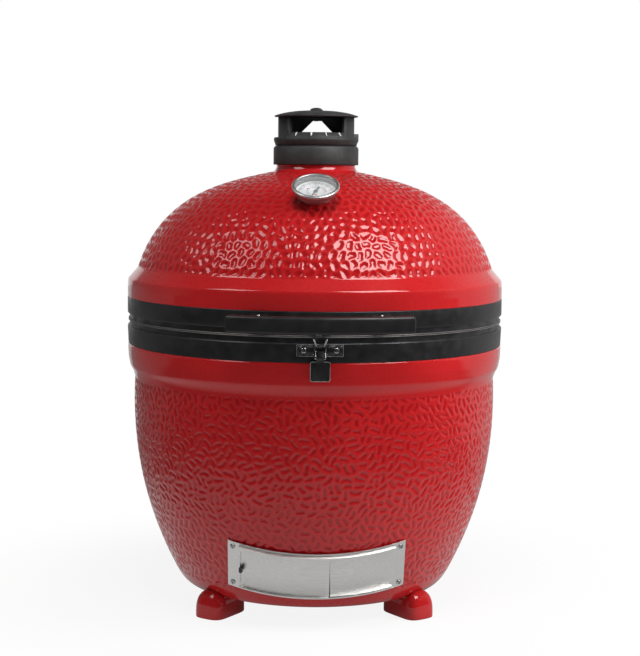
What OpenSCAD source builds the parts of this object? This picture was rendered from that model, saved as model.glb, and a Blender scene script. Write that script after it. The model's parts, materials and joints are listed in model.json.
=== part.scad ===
// Kamado charcoal grill: a ceramic pot and a hinged ceramic dome, clamped in two steel bands.
// Millimetres. The origin is on the floor, on the pot's axis. +Z is up and the front faces -Y.

/* [Ceramic body] */
// Outer radius of the steel bands, the widest part of the body
band_r = 350; // [349:0.5:352]
// Height of the pot's flat underside above the floor
underside_z = 36; // [34:1:38]
// Height of the joint between pot and dome
parting_z = 530; // [530:1:532]
// Thickness of the ceramic at the pot's floor
floor_t = 24; // [22:1:26]
// Inner radius of both ceramic rims
rim_inner_r = 318; // [316:1:320]

/* [Lid hinge] */
// Distance of the hinge pin behind the axis
hinge_y = 392; // [390:1:396]
// Height of the hinge pin above the joint between pot and dome
hinge_rise = 15; // [14:1:17]
// Radius of the hinge pin
hinge_pin_r = 5; // [4.5:0.5:5.5]

/* [Handle and latch] */
// Radius of the handle bar's front face
handle_r = 398; // [394:1:402]
// Half of the angle that the handle bar spans
handle_half_angle = 23.8; // [22:0.2:26]
// Width of the latch lever's thumb tab
latch_tab_w = 33; // [30:1:34]

/* [Draft door] */
// Tilt of the draft door from the vertical
draft_tilt = 24.5; // [24:0.5:25]
// Height of the draft door's centre
draft_z = 104; // [103:1:105]
// Half of the angle that the draft frame spans
draft_half_angle = 30; // [29.8:0.1:30.2]

/* [Top vent and thermometer] */
// Outer radius of the vent collar
vent_r = 79.3; // [79:0.1:80]
// Height of the underside of the vent collar
vent_z = 816; // [816:0.5:817]
// Outer radius of the thermometer's bezel
thermo_r = 41.5; // [40:0.5:43]
// Angle of the thermometer's axis above the horizontal
thermo_elevation = 60; // [59:0.5:61]

/* [Feet] */
// Height of a foot at its outer end
foot_h = 50; // [48:1:52]
// Width of a foot
foot_w = 59; // [56:1:62]
// Distance of a foot's outer face from the axis
foot_reach = 271; // [268:1:274]

/* [Hidden] */
$fn = 96;

gap = 0.2;                                // gap between pieces that are clamped or laid together
running = 0.05;                           // radial clearance of a pin that turns in its hole
gasket_t = 3.7;                           // thickness of each felt gasket
band_seat_r = band_r - 6;                 // ceramic radius behind a band
band_h = 44;                              // height of one band
lower_band_z = parting_z - band_h;        // underside of the lower band, top of the pot's collar
upper_band_z = parting_z + 42;            // top of the upper band, underside of the dome's collar
pot_rim_z = parting_z - gasket_t - 0.1;
dome_rim_z = parting_z + gasket_t + 0.1;
hinge_z = parting_z + hinge_rise;
pot_floor_z = underside_z + floor_t;
neck_r = 73.6;                            // red ceramic neck below the vent
neck_seat_r = 70.6;                       // neck inside the vent collar
neck_top_z = vent_z + 11;
flue_r = 54;                              // hole through the neck
clamp_angle = 152;                        // where each band is split and clamped

// ---------- helpers ----------
function bezier(p, t) = pow(1 - t, 3) * p[0] + 3 * pow(1 - t, 2) * t * p[1]
                      + 3 * (1 - t) * t * t * p[2] + pow(t, 3) * p[3];
function curve(p, n) = [for (i = [0:n]) bezier(p, i / n)];

// Turns a feature that is drawn at the front (-Y) to another angle around the axis
module at_angle(a) { rotate([0, 0, a]) children(); }

// Copies a feature to the left and to the right of the front
module both_sides(a) {
  for (s = [-1, 1])
    at_angle(s * a) children();
}

// Puts local +Z along the outward radius at the front
module radial(r, z) { translate([0, -r, z]) rotate([90, 0, 0]) children(); }

// Revolves a profile over an angle range that is counted from the front
module sector(from, to) {
  rotate([0, 0, from - 90]) rotate_extrude(angle = to - from) children();
}

module ring(r_in, r_out, z0, z1) {
  translate([0, 0, z0]) difference() {
    cylinder(h = z1 - z0, r = r_out);
    translate([0, 0, -1]) cylinder(h = z1 - z0 + 2, r = r_in);
  }
}

module box2(x0, y0, x1, y1) { translate([x0, y0]) square([x1 - x0, y1 - y0]); }

module rounded2(w, h, r) {
  square([w - 2 * r, h], center = true);
  square([w, h - 2 * r], center = true);
  for (x = [-1, 1], y = [-1, 1])
    translate([x * (w / 2 - r), y * (h / 2 - r)]) circle(r = r);
}

// Socket screw with its head's underside at z = 0 and its shank towards -Z
module button_screw(head_r, head_h, shank_r, shank_l) {
  difference() {
    union() {
      cylinder(h = head_h, r1 = head_r, r2 = head_r * 0.72);
      translate([0, 0, -shank_l]) cylinder(h = shank_l + 0.5, r = shank_r);
    }
    translate([0, 0, head_h * 0.35]) cylinder(h = head_h, r = shank_r * 0.62, $fn = 6);
  }
}

// ---------- ceramic ----------
pot_side = [[260, underside_z + 27], [323.4, underside_z + 149], [343, underside_z + 266.5],
            [336.5, 424]];
pot_heel = [[230, underside_z], [241.7, underside_z], [251, underside_z + 10],
            [260, underside_z + 27]];
pot_collar = [[340, 435], [345.7, 445.5], [348.6, 462], [349.2, 482], [349.2, lower_band_z - gap]];
pot_inside = [[311, 424], [319, 302], [300, 190], [238, pot_floor_z + 14]];
dome_side = [[331, 625], [285.2, 767.6], [159.7, 785.2], [neck_r + 7.4, vent_z - 12.5]];
dome_inside = [[308, 620], [258, 752], [158, 749], [flue_r, 788]];

function pot_outline(grow) = concat(
  [[0, underside_z]],
  [for (p = curve(pot_heel, 7)) p + [grow, 0]],
  [for (p = curve(pot_side, 26)) p + [grow, 0]]);

// Outer form of the pot below its collar, used to cut the saddles of the feet
module pot_form(grow) {
  rotate_extrude() polygon(concat(pot_outline(grow), [[0, 424]]));
}

module base_shell() {
  color("firebrick") difference() {
    rotate_extrude() polygon(concat(
      pot_outline(0), pot_collar,
      [[band_seat_r - gap, lower_band_z - gap], [band_seat_r - gap, pot_rim_z],
       [rim_inner_r, pot_rim_z], [rim_inner_r - 2, 455]],
      curve(pot_inside, 20),
      [[232, pot_floor_z + 6], [222, pot_floor_z], [0, pot_floor_z]]));
    at_draft() {
      sector(-draft_hole_angle, draft_hole_angle)
        box2(draft_plate_r - 60, -draft_hole_half_h, draft_plate_r + 10, draft_hole_half_h);
      both_sides(draft_screw_angle)
        for (z = [-1, 1])
          radial(draft_plate_r - 14, z * draft_screw_z) cylinder(h = 20, r = 2.8);
    }
  }
}

module dome_shell() {
  color("firebrick") difference() {
    rotate_extrude() polygon(concat(
      [[rim_inner_r, dome_rim_z], [band_seat_r - gap, dome_rim_z],
       [band_seat_r - gap, upper_band_z + gap], [349.6, upper_band_z + gap], [349.6, 590],
       [349.4, 600], [348.6, 604.8]],
      curve(dome_side, 30),
      [[77, vent_z - 10.6], [75, vent_z - 7.6], [neck_r, vent_z - 4],
       [neck_r, vent_z + 0.5], [neck_seat_r, vent_z + 1.5],
       [neck_seat_r, neck_top_z], [flue_r, neck_top_z]],
      [for (i = [22:-1:0]) bezier(dome_inside, i / 22)]));
    at_thermometer() translate([0, 0, -60]) cylinder(h = 80, r = 5.6);
    at_thermometer() cylinder(h = 40, r = 17);
  }
}

module foot_block() {
  length = 95;
  side_round = 24;
  end_round = 18;
  intersection() {
    translate([0, -foot_reach + length, 0]) rotate([90, 0, 0])
      linear_extrude(length) {
        translate([0, foot_h / 2]) rounded2(foot_w, foot_h, side_round);
        translate([0, foot_h / 4 + 1]) rounded2(foot_w, foot_h / 2 + 2, 3);
      }
    translate([0, -foot_reach + length / 2, -1])
      linear_extrude(foot_h + 2) rounded2(foot_w, length, 9);
    rotate([90, 0, 90]) translate([0, 0, -foot_w]) linear_extrude(2 * foot_w) {
      translate([-foot_reach + length / 2, foot_h / 2]) rounded2(length, foot_h, end_round);
      translate([-foot_reach + length / 2, foot_h / 4 + 1]) rounded2(length, foot_h / 2 + 2, 3);
    }
  }
}

// A loaf-shaped block whose top is cut to a saddle that carries the pot's heel
module foot(angle, toe) {
  color("firebrick") difference() {
    at_angle(angle) translate([0, -foot_reach, 0]) rotate([0, 0, -toe])
      translate([0, foot_reach, 0]) foot_block();
    pot_form(0.5);
  }
}

module foot_front_left() { foot(-47, -13); }
module foot_front_right() { foot(47, 13); }
module foot_rear() { foot(180, 0); }

module lower_gasket() {
  color("dimgray") ring(rim_inner_r + 3, band_seat_r - 1, pot_rim_z, parting_z - 0.1);
}

module upper_gasket() {
  color("dimgray") ring(rim_inner_r + 3, band_seat_r - 1, parting_z + 0.1, dome_rim_z);
}

// ---------- bands ----------
lug_r = band_r + 24;
lug_bolt_r = band_r + 14;

module clamp_gap(z0, z1) {
  at_angle(clamp_angle) translate([-5, -band_r - 5, z0 - 1]) cube([10, 20, z1 - z0 + 2]);
}

module clamp_lugs(z0, z1) {
  at_angle(clamp_angle)
    for (s = [-1, 1])
      translate([s * 7 - 2, -lug_r, z0]) difference() {
        cube([4, lug_r - band_r + 2.5, z1 - z0]);
        translate([-1, lug_r - lug_bolt_r, (z1 - z0) / 2]) rotate([0, 90, 0])
          cylinder(h = 6, r = 4.3);
      }
}

module lower_band() {
  z0 = lower_band_z;
  color([0.12, 0.12, 0.12]) {
    difference() {
      rotate_extrude() polygon([
        [band_seat_r, z0], [band_r - 1.5, z0], [band_r - 1.2, z0 + 1], [band_r, z0 + 31],
        [band_r - 1, z0 + 32.5], [band_r - 4, z0 + 33], [band_r - 4, z0 + 42],
        [band_r - 2, z0 + 42.2], [band_r - 2, z0 + 43.5], [band_seat_r, z0 + 43.5]]);
      clamp_gap(z0, z0 + band_h);
      both_sides(latch_screw_angle) radial(band_seat_r - 3, latch_z) cylinder(h = 20, r = 2.2);
      both_sides(180 - lower_bolt_angle) radial(band_seat_r - 3, lower_plate_z) cylinder(h = 20, r = 3.3);
      both_sides(180 - 4) radial(band_seat_r - 3, lower_plate_z) cylinder(h = 20, r = 3.3);
    }
    clamp_lugs(z0 + 3, z0 + 29);
  }
}

module upper_band() {
  z0 = parting_z;
  color([0.12, 0.12, 0.12]) {
    difference() {
      rotate_extrude() polygon([
        [band_seat_r, z0 + 0.5], [band_r - 2, z0 + 0.5], [band_r - 2, z0 + 1.8],
        [band_r - 4, z0 + 2], [band_r - 4, z0 + 11], [band_r - 1, z0 + 11.5],
        [band_r, z0 + 13], [band_r, z0 + 41], [band_r - 0.8, z0 + 42], [band_seat_r, z0 + 42]]);
      clamp_gap(z0, z0 + band_h);
      both_sides(handle_bracket_angle)
        for (z = [-1, 1])
          radial(band_seat_r - 3, handle_z + z * handle_bolt_rise) cylinder(h = 20, r = 2.8);
      both_sides(180 - upper_bolt_angle) radial(band_seat_r - 3, upper_plate_z) cylinder(h = 20, r = 3.3);
      both_sides(180 - 3) radial(band_seat_r - 3, upper_plate_z) cylinder(h = 20, r = 3.3);
      both_sides(1.7) radial(band_seat_r - 3, keeper_z) cylinder(h = 20, r = 1.6);
    }
    clamp_lugs(z0 + 14, z0 + 40);
  }
}

module clamp_bolt(z) {
  color("silver") at_angle(clamp_angle) translate([0, -lug_bolt_r, z]) rotate([0, 90, 0]) {
    translate([0, 0, -24]) cylinder(h = 44, r = 4);
    translate([0, 0, -15]) cylinder(h = 5.5, r = 7.2, $fn = 6);
  }
}

module clamp_nut(z) {
  color("silver") at_angle(clamp_angle) translate([9.2, -lug_bolt_r, z]) rotate([0, 90, 0])
    difference() {
      cylinder(h = 6.5, r = 7.2, $fn = 6);
      translate([0, 0, -1]) cylinder(h = 9, r = 4.05);
    }
}

module lower_clamp_bolt() { clamp_bolt(lower_band_z + 16); }
module lower_clamp_nut() { clamp_nut(lower_band_z + 16); }
module upper_clamp_bolt() { clamp_bolt(parting_z + 27); }
module upper_clamp_nut() { clamp_nut(parting_z + 27); }

// ---------- fire and cooking parts ----------
firebox_top_z = 328;
fire_ring_top_z = 410;
ledge_z = pot_floor_z + 50;
deflector_z = fire_ring_top_z + 34;
grate_z = parting_z - 26;

module firebox() {
  color("tan") difference() {
    rotate_extrude() polygon([
      [150, pot_floor_z], [192, pot_floor_z], [278, firebox_top_z - 24], [286, firebox_top_z - 24],
      [286, firebox_top_z], [256, firebox_top_z], [184, ledge_z + 14], [128, ledge_z + 14],
      [128, ledge_z], [112, ledge_z], [112, ledge_z - 14], [150, ledge_z - 20]]);
    translate([-80, -260, pot_floor_z - 1]) cube([160, 160, 27]);
    for (a = [30:60:330])
      at_angle(a) translate([-3, -300, 190]) cube([6, 100, 200]);
    for (a = [0:60:300])
      at_angle(a) radial(150, 165) cylinder(h = 120, r = 11);
  }
}

module fire_ring() {
  color("tan") rotate_extrude() polygon([
    [262, firebox_top_z], [292, firebox_top_z], [302, firebox_top_z + 30],
    [302, fire_ring_top_z], [278, fire_ring_top_z], [270, firebox_top_z + 34]]);
}

module charcoal_grate() {
  slot_w = 7;
  color([0.16, 0.16, 0.17]) difference() {
    translate([0, 0, ledge_z]) cylinder(h = 9, r = 126);
    for (i = [-6:6]) {
      half = sqrt(112 * 112 - pow(i * 16, 2));
      for (s = [-1, 1])
        translate([i * 16 - slot_w / 2, s > 0 ? 4 : -half, ledge_z - 1])
          cube([slot_w, half - 4, 11]);
    }
  }
}

// Wire rack: a top ring for the grates, a low ring for the deflectors, and the feet between
module accessory_rack() {
  top_r = 296;
  low_r = 284;
  top_z = grate_z - 9.7;
  post_z = fire_ring_top_z + 0.05;
  color("silver") {
    translate([0, 0, top_z]) rotate_extrude() translate([top_r, 0]) circle(r = 4);
    translate([0, 0, deflector_z - 7]) rotate_extrude() translate([low_r, 0]) circle(r = 4);
    for (a = [0:60:300])
      at_angle(a + 30) {
        translate([0, -low_r - 6, post_z]) cylinder(h = top_z - post_z, r = 3.4);
        translate([0, -top_r, grate_z - 11.5]) rotate([-90, 0, 0]) cylinder(h = 16, r = 2.6);
        translate([0, -low_r - 8, deflector_z - 5.5]) rotate([-90, 0, 0]) cylinder(h = 30, r = 2.6);
      }
  }
}

module half_disc(r, z, h) {
  difference() {
    translate([0, 0, z]) cylinder(h = h, r = r);
    translate([-r - 1, -r - 1, z - 1]) cube([r + 4, 2 * r + 2, h + 2]);
  }
}

module heat_deflector() {
  color("wheat") difference() {
    half_disc(278, deflector_z - 1.8, 14);
    translate([200, 0, deflector_z - 3]) cylinder(h = 20, r = 12);
  }
}

module heat_deflector_right() { heat_deflector(); }
module heat_deflector_left() { mirror([1, 0, 0]) heat_deflector(); }

module cooking_grate() {
  rod_r = 4;
  bar_r = 2.4;
  r = 296;
  color("silver") {
    translate([0, 0, grate_z]) rotate([0, 0, -89]) rotate_extrude(angle = 178)
      translate([r, 0]) circle(r = rod_r);
    translate([5.2, -r + 0.4, grate_z]) rotate([-90, 0, 0]) cylinder(h = 2 * r - 0.8, r = rod_r);
    for (i = [1:16]) {
      half = sqrt(r * r - pow(5.2 + i * 17, 2));
      translate([5.2 + i * 17, -half, grate_z + 1]) rotate([-90, 0, 0])
        cylinder(h = 2 * half, r = bar_r);
    }
    for (y = [-150, 150])
      translate([5, y, grate_z - 2.6]) rotate([0, 90, 0])
        cylinder(h = sqrt(r * r - y * y) - 5, r = 3);
  }
}

module cooking_grate_right() { cooking_grate(); }
module cooking_grate_left() { mirror([1, 0, 0]) cooking_grate(); }

// ---------- draft door, drawn around the axis that the door slides about ----------
draft_r = 309;
draft_face_y = 281;
draft_plate_r = draft_r + 0.4;         // back of the frame's plate, just clear of the pot
draft_half_h = 49.5;
draft_rail_angle = 25.8;
draft_hole_angle = 24.6;
draft_hole_half_h = 33;
draft_screw_angle = 28.1;
draft_screw_z = 39.5;
panel_half_h = 43.4;

module at_draft() {
  translate([0, -draft_face_y, draft_z]) rotate([draft_tilt, 0, 0])
    translate([0, draft_r, 0]) children();
}

module draft_frame() {
  color("silver") at_draft() difference() {
    union() {
      sector(-draft_half_angle, draft_half_angle)
        box2(draft_plate_r, -draft_half_h, draft_plate_r + 1.5, draft_half_h);
      for (s = [0, 1])
        mirror([0, 0, s]) {
          sector(-draft_rail_angle, draft_rail_angle) polygon([
            [draft_plate_r + 1, 44], [draft_plate_r + 5.7, 44], [draft_plate_r + 5.7, 42.2],
            [draft_plate_r + 6.5, 42.2], [draft_plate_r + 6.5, 44.6], [draft_plate_r + 1, 45.8]]);
          sector(-draft_hole_angle + 0.4, draft_hole_angle - 0.4) polygon([
            [draft_plate_r + 0.5, 32.6], [draft_plate_r - 5, 32.6], [draft_plate_r - 5, 29],
            [draft_plate_r - 4, 29], [draft_plate_r - 4, 31.4], [draft_plate_r + 0.5, 31.4]]);
        }
    }
    sector(-23.6, 23.6) box2(draft_plate_r - 1, -30.2, draft_plate_r + 3, 30.2);
    both_sides(draft_screw_angle)
      for (z = [-1, 1])
        radial(draft_plate_r - 5, z * draft_screw_z) cylinder(h = 12, r = 2.8);
  }
}

module draft_frame_screws() {
  color("gray") at_draft() both_sides(draft_screw_angle)
    for (z = [-1, 1])
      radial(draft_plate_r + 1.7, z * draft_screw_z) button_screw(4.8, 2.6, 2.5, 12);
}

module draft_panel() {
  color("lightgray") at_draft() sector(3, draft_rail_angle)
    box2(draft_plate_r + 1.6, -panel_half_h, draft_plate_r + 2.5, panel_half_h);
}

module draft_door() {
  color("lightgray") at_draft() {
    sector(-25.3, 4) box2(draft_plate_r + 3.2, -panel_half_h, draft_plate_r + 4.3, panel_half_h);
    sector(-25.3, -25) box2(draft_plate_r + 4, -32.5, draft_plate_r + 7, 32.5);
  }
}

module draft_door_knob() {
  color([0.15, 0.15, 0.15]) at_draft() at_angle(-24.5) radial(draft_plate_r + 4.4, 0) {
    cylinder(h = 4, r = 2.2);
    translate([0, 0, 2.8]) linear_extrude(4.6) rounded2(6.2, 12.5, 3);
  }
}

module spark_screen() {
  color("gray") at_draft() difference() {
    sector(-24, 1.8) box2(draft_plate_r - 3, -31, draft_plate_r - 2, 31);
    for (a = [-22:2.2:0], z = [-1, 1])
      at_angle(a) translate([-2.2, -draft_plate_r - 5, z * 14.5 - 11.5]) cube([4.4, 20, 23]);
  }
}

// ---------- lid hinge ----------
lower_plate_z = lower_band_z + 17;
upper_plate_z = parting_z + 27;
ear_x = 66;
arm_x = 54;
lower_bolt_angle = 8.4;                   // the outer bolts, between the ears
upper_bolt_angle = 6.4;                   // the outer bolts, between the arms

module hinge_lower_bracket() {
  color([0.14, 0.14, 0.14]) difference() {
    union() {
      sector(180 - 12.8, 180 + 12.8)
        box2(band_r + 0.2, lower_plate_z - 13.5, band_r + 5, lower_plate_z + 13.5);
      for (s = [-1, 1])
        translate([s * ear_x - 4, 0, 0]) rotate([90, 0, 90]) linear_extrude(8) {
          translate([hinge_y, hinge_z]) circle(r = 12);
          polygon([[344.5, lower_plate_z - 13], [352, lower_plate_z - 13],
                   [hinge_y + 9, hinge_z - 10], [hinge_y + 11.8, hinge_z],
                   [hinge_y - 11.8, hinge_z], [352, lower_plate_z + 13],
                   [344.5, lower_plate_z + 13]]);
        }
    }
    cylinder(h = 900, r = band_r + 0.2);
    translate([-90, hinge_y, hinge_z]) rotate([0, 90, 0])
      cylinder(h = 180, r = hinge_pin_r + running);
    both_sides(180 - lower_bolt_angle) radial(band_r - 8, lower_plate_z) cylinder(h = 20, r = 3.3);
    both_sides(180 - 4) radial(band_r - 8, lower_plate_z) cylinder(h = 20, r = 3.3);
  }
}

module hinge_upper_bracket() {
  color([0.14, 0.14, 0.14]) difference() {
    union() {
      sector(180 - 10.2, 180 + 10.2)
        box2(band_r + 0.2, upper_plate_z - 12, band_r + 5, upper_plate_z + 12);
      for (s = [-1, 1])
        translate([s * arm_x - 4, 0, 0]) rotate([90, 0, 90]) linear_extrude(8) {
          translate([hinge_y, hinge_z]) circle(r = 12);
          polygon([[346, upper_plate_z - 11.5], [hinge_y, hinge_z - 11.9],
                   [hinge_y + 8, hinge_z + 9], [360, upper_plate_z + 11.5],
                   [346, upper_plate_z + 11.5]]);
        }
    }
    cylinder(h = 900, r = band_r + 0.2);
    translate([-90, hinge_y, hinge_z]) rotate([0, 90, 0]) cylinder(h = 180, r = 8);
    both_sides(180 - upper_bolt_angle) radial(band_r - 8, upper_plate_z) cylinder(h = 20, r = 3.3);
    both_sides(180 - 3) radial(band_r - 8, upper_plate_z) cylinder(h = 20, r = 3.3);
  }
}

module hinge_bolt() { button_screw(5.6, 3.4, 3, 9.5); }

module hinge_lower_bolts() {
  color("gray") {
    both_sides(180 - lower_bolt_angle) radial(band_r + 5.3, lower_plate_z) hinge_bolt();
    both_sides(180 - 4) radial(band_r + 5.3, lower_plate_z) hinge_bolt();
  }
}

module hinge_upper_bolts() {
  color("gray") {
    both_sides(180 - upper_bolt_angle) radial(band_r + 5.3, upper_plate_z) hinge_bolt();
    both_sides(180 - 3) radial(band_r + 5.3, upper_plate_z) hinge_bolt();
  }
}

module at_hinge(x) { translate([x, hinge_y, hinge_z]) rotate([0, 90, 0]) children(); }

module hinge_pin() {
  color("silver") difference() {
    union() {
      at_hinge(-76) cylinder(h = 155, r = hinge_pin_r);
      at_hinge(-76) cylinder(h = 4, r = 8);
    }
    at_hinge(74.5) ring(hinge_pin_r - 1, hinge_pin_r + 2, 0, 1.4);
  }
}

module hinge_pin_clips() {
  color("gray") at_hinge(74.6) difference() {
    cylinder(h = 1.2, r = hinge_pin_r + 4);
    translate([0, 0, -1]) cylinder(h = 4, r = hinge_pin_r - 0.9);
    translate([-20, -3, -1]) cube([20, 6, 4]);
  }
}

module hinge_bushes() {
  color("peru") for (s = [-1, 1])
    at_hinge(s * arm_x) {
      ring(hinge_pin_r + running, 7.97, -4, 4);
      ring(hinge_pin_r + running, 10.5, s > 0 ? 4.2 : -5.7, s > 0 ? 5.7 : -4.2);
      ring(hinge_pin_r + running, 7.97, s > 0 ? 3.5 : -4.5, s > 0 ? 4.5 : -3.5);
    }
}

// Torsion spring round the pin, as a stack of coils with a leg on each bracket
module hinge_spring() {
  wire_r = 2.2;
  coil_r = 11;
  color("silver") {
    at_hinge(12) rotate_extrude()
      for (i = [0:7]) translate([coil_r, i * 4.2]) circle(r = wire_r);
    translate([12, hinge_y - coil_r, hinge_z]) rotate([152, 0, 0]) cylinder(h = 36, r = wire_r);
    translate([41.4, hinge_y - coil_r + 3, hinge_z + 6]) rotate([62, 0, 0])
      cylinder(h = 20, r = wire_r);
  }
}

module hinge_spring_right() { hinge_spring(); }
module hinge_spring_left() { mirror([1, 0, 0]) hinge_spring(); }

// ---------- handle ----------
handle_z = parting_z + 22.5;
handle_h = 29;
handle_t = 19;
handle_bracket_angle = 17;
handle_bolt_rise = 10.4;                  // height of a bolt above or below the bracket's post

module handle_bar() {
  mid_r = handle_r - handle_t / 2;
  color([0.1, 0.1, 0.1]) difference() {
    sector(-handle_half_angle, handle_half_angle)
      translate([mid_r, handle_z]) rounded2(handle_t, handle_h, 6);
    both_sides(handle_bracket_angle)
      radial(handle_r - handle_t - 2, handle_z) cylinder(h = 14, r = 3.2);
  }
}

module handle_brackets() {
  color([0.14, 0.14, 0.14]) both_sides(handle_bracket_angle) difference() {
    union() {
      sector(-2.6, 2.6) box2(band_r + 0.2, handle_z - 14, band_r + 4, handle_z + 14);
      intersection() {
        radial(band_r + 2, handle_z) cylinder(h = handle_r - handle_t - band_r - 2.2, r = 6.6);
        ring(band_r + 1, handle_r - handle_t - 0.2, handle_z - 20, handle_z + 20);
      }
      radial(handle_r - handle_t - 3, handle_z) cylinder(h = 13, r = 3);
    }
    for (z = [-1, 1])
      radial(band_seat_r, handle_z + z * handle_bolt_rise) cylinder(h = 60, r = 2.8);
  }
}

module handle_bolts() {
  color("gray") both_sides(handle_bracket_angle)
    for (z = [-1, 1])
      radial(band_r + 4.3, handle_z + z * handle_bolt_rise) button_screw(3.5, 2.6, 2.5, 9);
}

// ---------- latch ----------
latch_z = lower_band_z + 21.4;
latch_screw_angle = 4.43;
lever_y = band_r + 7.5;
lever_z = latch_z - 4.4;
hook_y = lever_y + 5;
hook_z = lever_z - 6;
latch_pin_r = 1.8;
keeper_z = parting_z + 6.6;

module latch_plate() {
  color([0.13, 0.13, 0.13]) difference() {
    union() {
      sector(-6.45, 6.45) box2(band_r + 0.2, latch_z - 10.2, band_r + 1.8, latch_z + 10.2);
      for (s = [-1, 1])
        translate([s * 10.1 - 0.8, 0, 0]) rotate([90, 0, 90]) linear_extrude(1.6) {
          translate([-lever_y, lever_z]) circle(r = 4.6);
          polygon([[-band_r, latch_z - 10.2], [-lever_y, lever_z - 4.6],
                   [-lever_y, lever_z + 4.6], [-band_r - 3, latch_z + 10.2],
                   [-band_r, latch_z + 10.2]]);
        }
    }
    cylinder(h = 900, r = band_r + 0.2);
    at_lever(-20) cylinder(h = 40, r = latch_pin_r + running);
    both_sides(latch_screw_angle) radial(band_r - 5, latch_z) cylinder(h = 20, r = 2.2);
  }
}

module at_lever(x) { translate([x, -lever_y, lever_z]) rotate([0, 90, 0]) children(); }
module at_hook(x) { translate([x, -hook_y, hook_z]) rotate([0, 90, 0]) children(); }

module latch_screws() {
  color("silver") both_sides(latch_screw_angle)
    radial(band_r + 2, latch_z) button_screw(4.7, 3, 2, 7.5);
}

module latch_lever_pin() {
  color("silver") {
    at_lever(-12.6) cylinder(h = 25.2, r = latch_pin_r);
    at_lever(-12.6) cylinder(h = 1.4, r = 2.9);
    at_lever(11.2) cylinder(h = 1.4, r = 2.9);
  }
}

module latch_lever() {
  tab_top = lever_z - 13.6;
  color([0.13, 0.13, 0.13]) difference() {
    union() {
      translate([-6.6, 0, 0]) rotate([90, 0, 90]) linear_extrude(13.2) {
        translate([-lever_y, lever_z]) circle(r = 4.2);
        translate([-hook_y, hook_z]) circle(r = 3.4);
        polygon([[-lever_y + 4.2, lever_z], [-lever_y - 3, lever_z + 3],
                 [-hook_y - 3.3, hook_z], [-lever_y - 3, tab_top - 6],
                 [-lever_y + 0.6, tab_top - 6]]);
      }
      translate([0, -lever_y + 0.6, tab_top - 16.7]) rotate([90, 0, 0])
        linear_extrude(3.6) rounded2(latch_tab_w, 33.4, 3.5);
    }
    at_lever(-20) cylinder(h = 40, r = latch_pin_r + running);
    at_hook(-20) cylinder(h = 40, r = latch_pin_r + running);
  }
}

module latch_hook_pin() {
  color("silver") at_hook(-9.6) cylinder(h = 19.2, r = latch_pin_r);
}

// Two side arms and a cross claw that stands just in front of the keeper
module latch_hook() {
  arm = [[-hook_y - 3.2, hook_z - 1.5], [-hook_y - 2.4, hook_z - 3.2], [-hook_y + 1.5, hook_z - 3.2],
         [-hook_y + 2, hook_z + 14], [-band_r - 7, latch_z + 13], [-band_r - 5.5, keeper_z - 8],
         [-band_r - 3.4, keeper_z - 2], [-band_r - 3.4, keeper_z + 4],
         [-band_r - 6.6, keeper_z + 4], [-band_r - 10.4, latch_z + 13]];
  color([0.2, 0.2, 0.2]) difference() {
    union() {
      for (s = [-1, 1])
        translate([s * 8.1 - 0.9, 0, 0]) rotate([90, 0, 90]) linear_extrude(1.8) {
          polygon(arm);
          translate([-hook_y, hook_z]) circle(r = 3.2);
        }
      translate([-8.5, 0, 0]) rotate([90, 0, 90]) linear_extrude(17) polygon([
        [-band_r - 5.4, keeper_z - 7], [-band_r - 3.4, keeper_z - 2], [-band_r - 3.4, keeper_z + 4],
        [-band_r - 5, keeper_z + 4], [-band_r - 7.2, keeper_z - 7]]);
    }
    at_hook(-20) cylinder(h = 40, r = latch_pin_r + running);
  }
}

module latch_keeper() {
  color([0.2, 0.2, 0.2]) {
    sector(-2.9, 2.9) polygon([
      [band_r - 3.8, keeper_z - 4.2], [band_r + 0.2, keeper_z - 4.2],
      [band_r + 1.6, keeper_z + 1.6], [band_r + 2, keeper_z + 4.2], [band_r - 3.8, keeper_z + 4.2]]);
    both_sides(1.7) radial(band_seat_r + 0.5, keeper_z) cylinder(h = 3, r = 1.5);
  }
}

// ---------- thermometer, drawn with its axis along +Z from the dome's surface ----------
thermo_surface_r = 228;
thermo_surface_z = 755.4;
thermo_turn = -1.6;                       // the hole lies this far off the front
bezel_z = 24.5;
dial_z = 15.5;

module at_thermometer() {
  at_angle(thermo_turn) translate([0, -thermo_surface_r, thermo_surface_z])
    rotate([90 - thermo_elevation, 0, 0]) children();
}

module thermometer_gasket() {
  color("dimgray") at_thermometer() ring(5.6, 15, 0.2, 2.4);
}

module thermometer_case() {
  color("silver") at_thermometer() rotate_extrude() polygon([
    [5.2, 2.5], [15, 2.5], [23, 4.2], [31, 8.5], [36.6, 14.5], [38.2, 21], [38.4, bezel_z - 0.1],
    [38.4, bezel_z + 1.4], [36.8, bezel_z + 1.4], [36.8, 20], [35.8, dial_z + 0.8],
    [35.8, dial_z - 0.1], [34, dial_z - 0.1], [29, 10.4], [21, 6.4], [5.2, 5]]);
}

module thermometer_bezel() {
  color("silver") at_thermometer() rotate_extrude() polygon([
    [38.5, bezel_z], [thermo_r - 1.2, bezel_z], [thermo_r, bezel_z + 1.4],
    [thermo_r, bezel_z + 3.4], [thermo_r - 1.6, bezel_z + 5], [thermo_r - 3.6, bezel_z + 5.5],
    [thermo_r - 5.4, bezel_z + 5], [thermo_r - 5.4, bezel_z + 3.5], [38.5, bezel_z + 3.5]]);
}

module thermometer_lens() {
  color("lightblue", 0.35) at_thermometer() ring(0, 38.3, bezel_z + 1.5, bezel_z + 3.4);
}

module thermometer_dial() {
  color("white") at_thermometer() ring(1.4, 35.5, dial_z, dial_z + 0.8);
}

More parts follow.
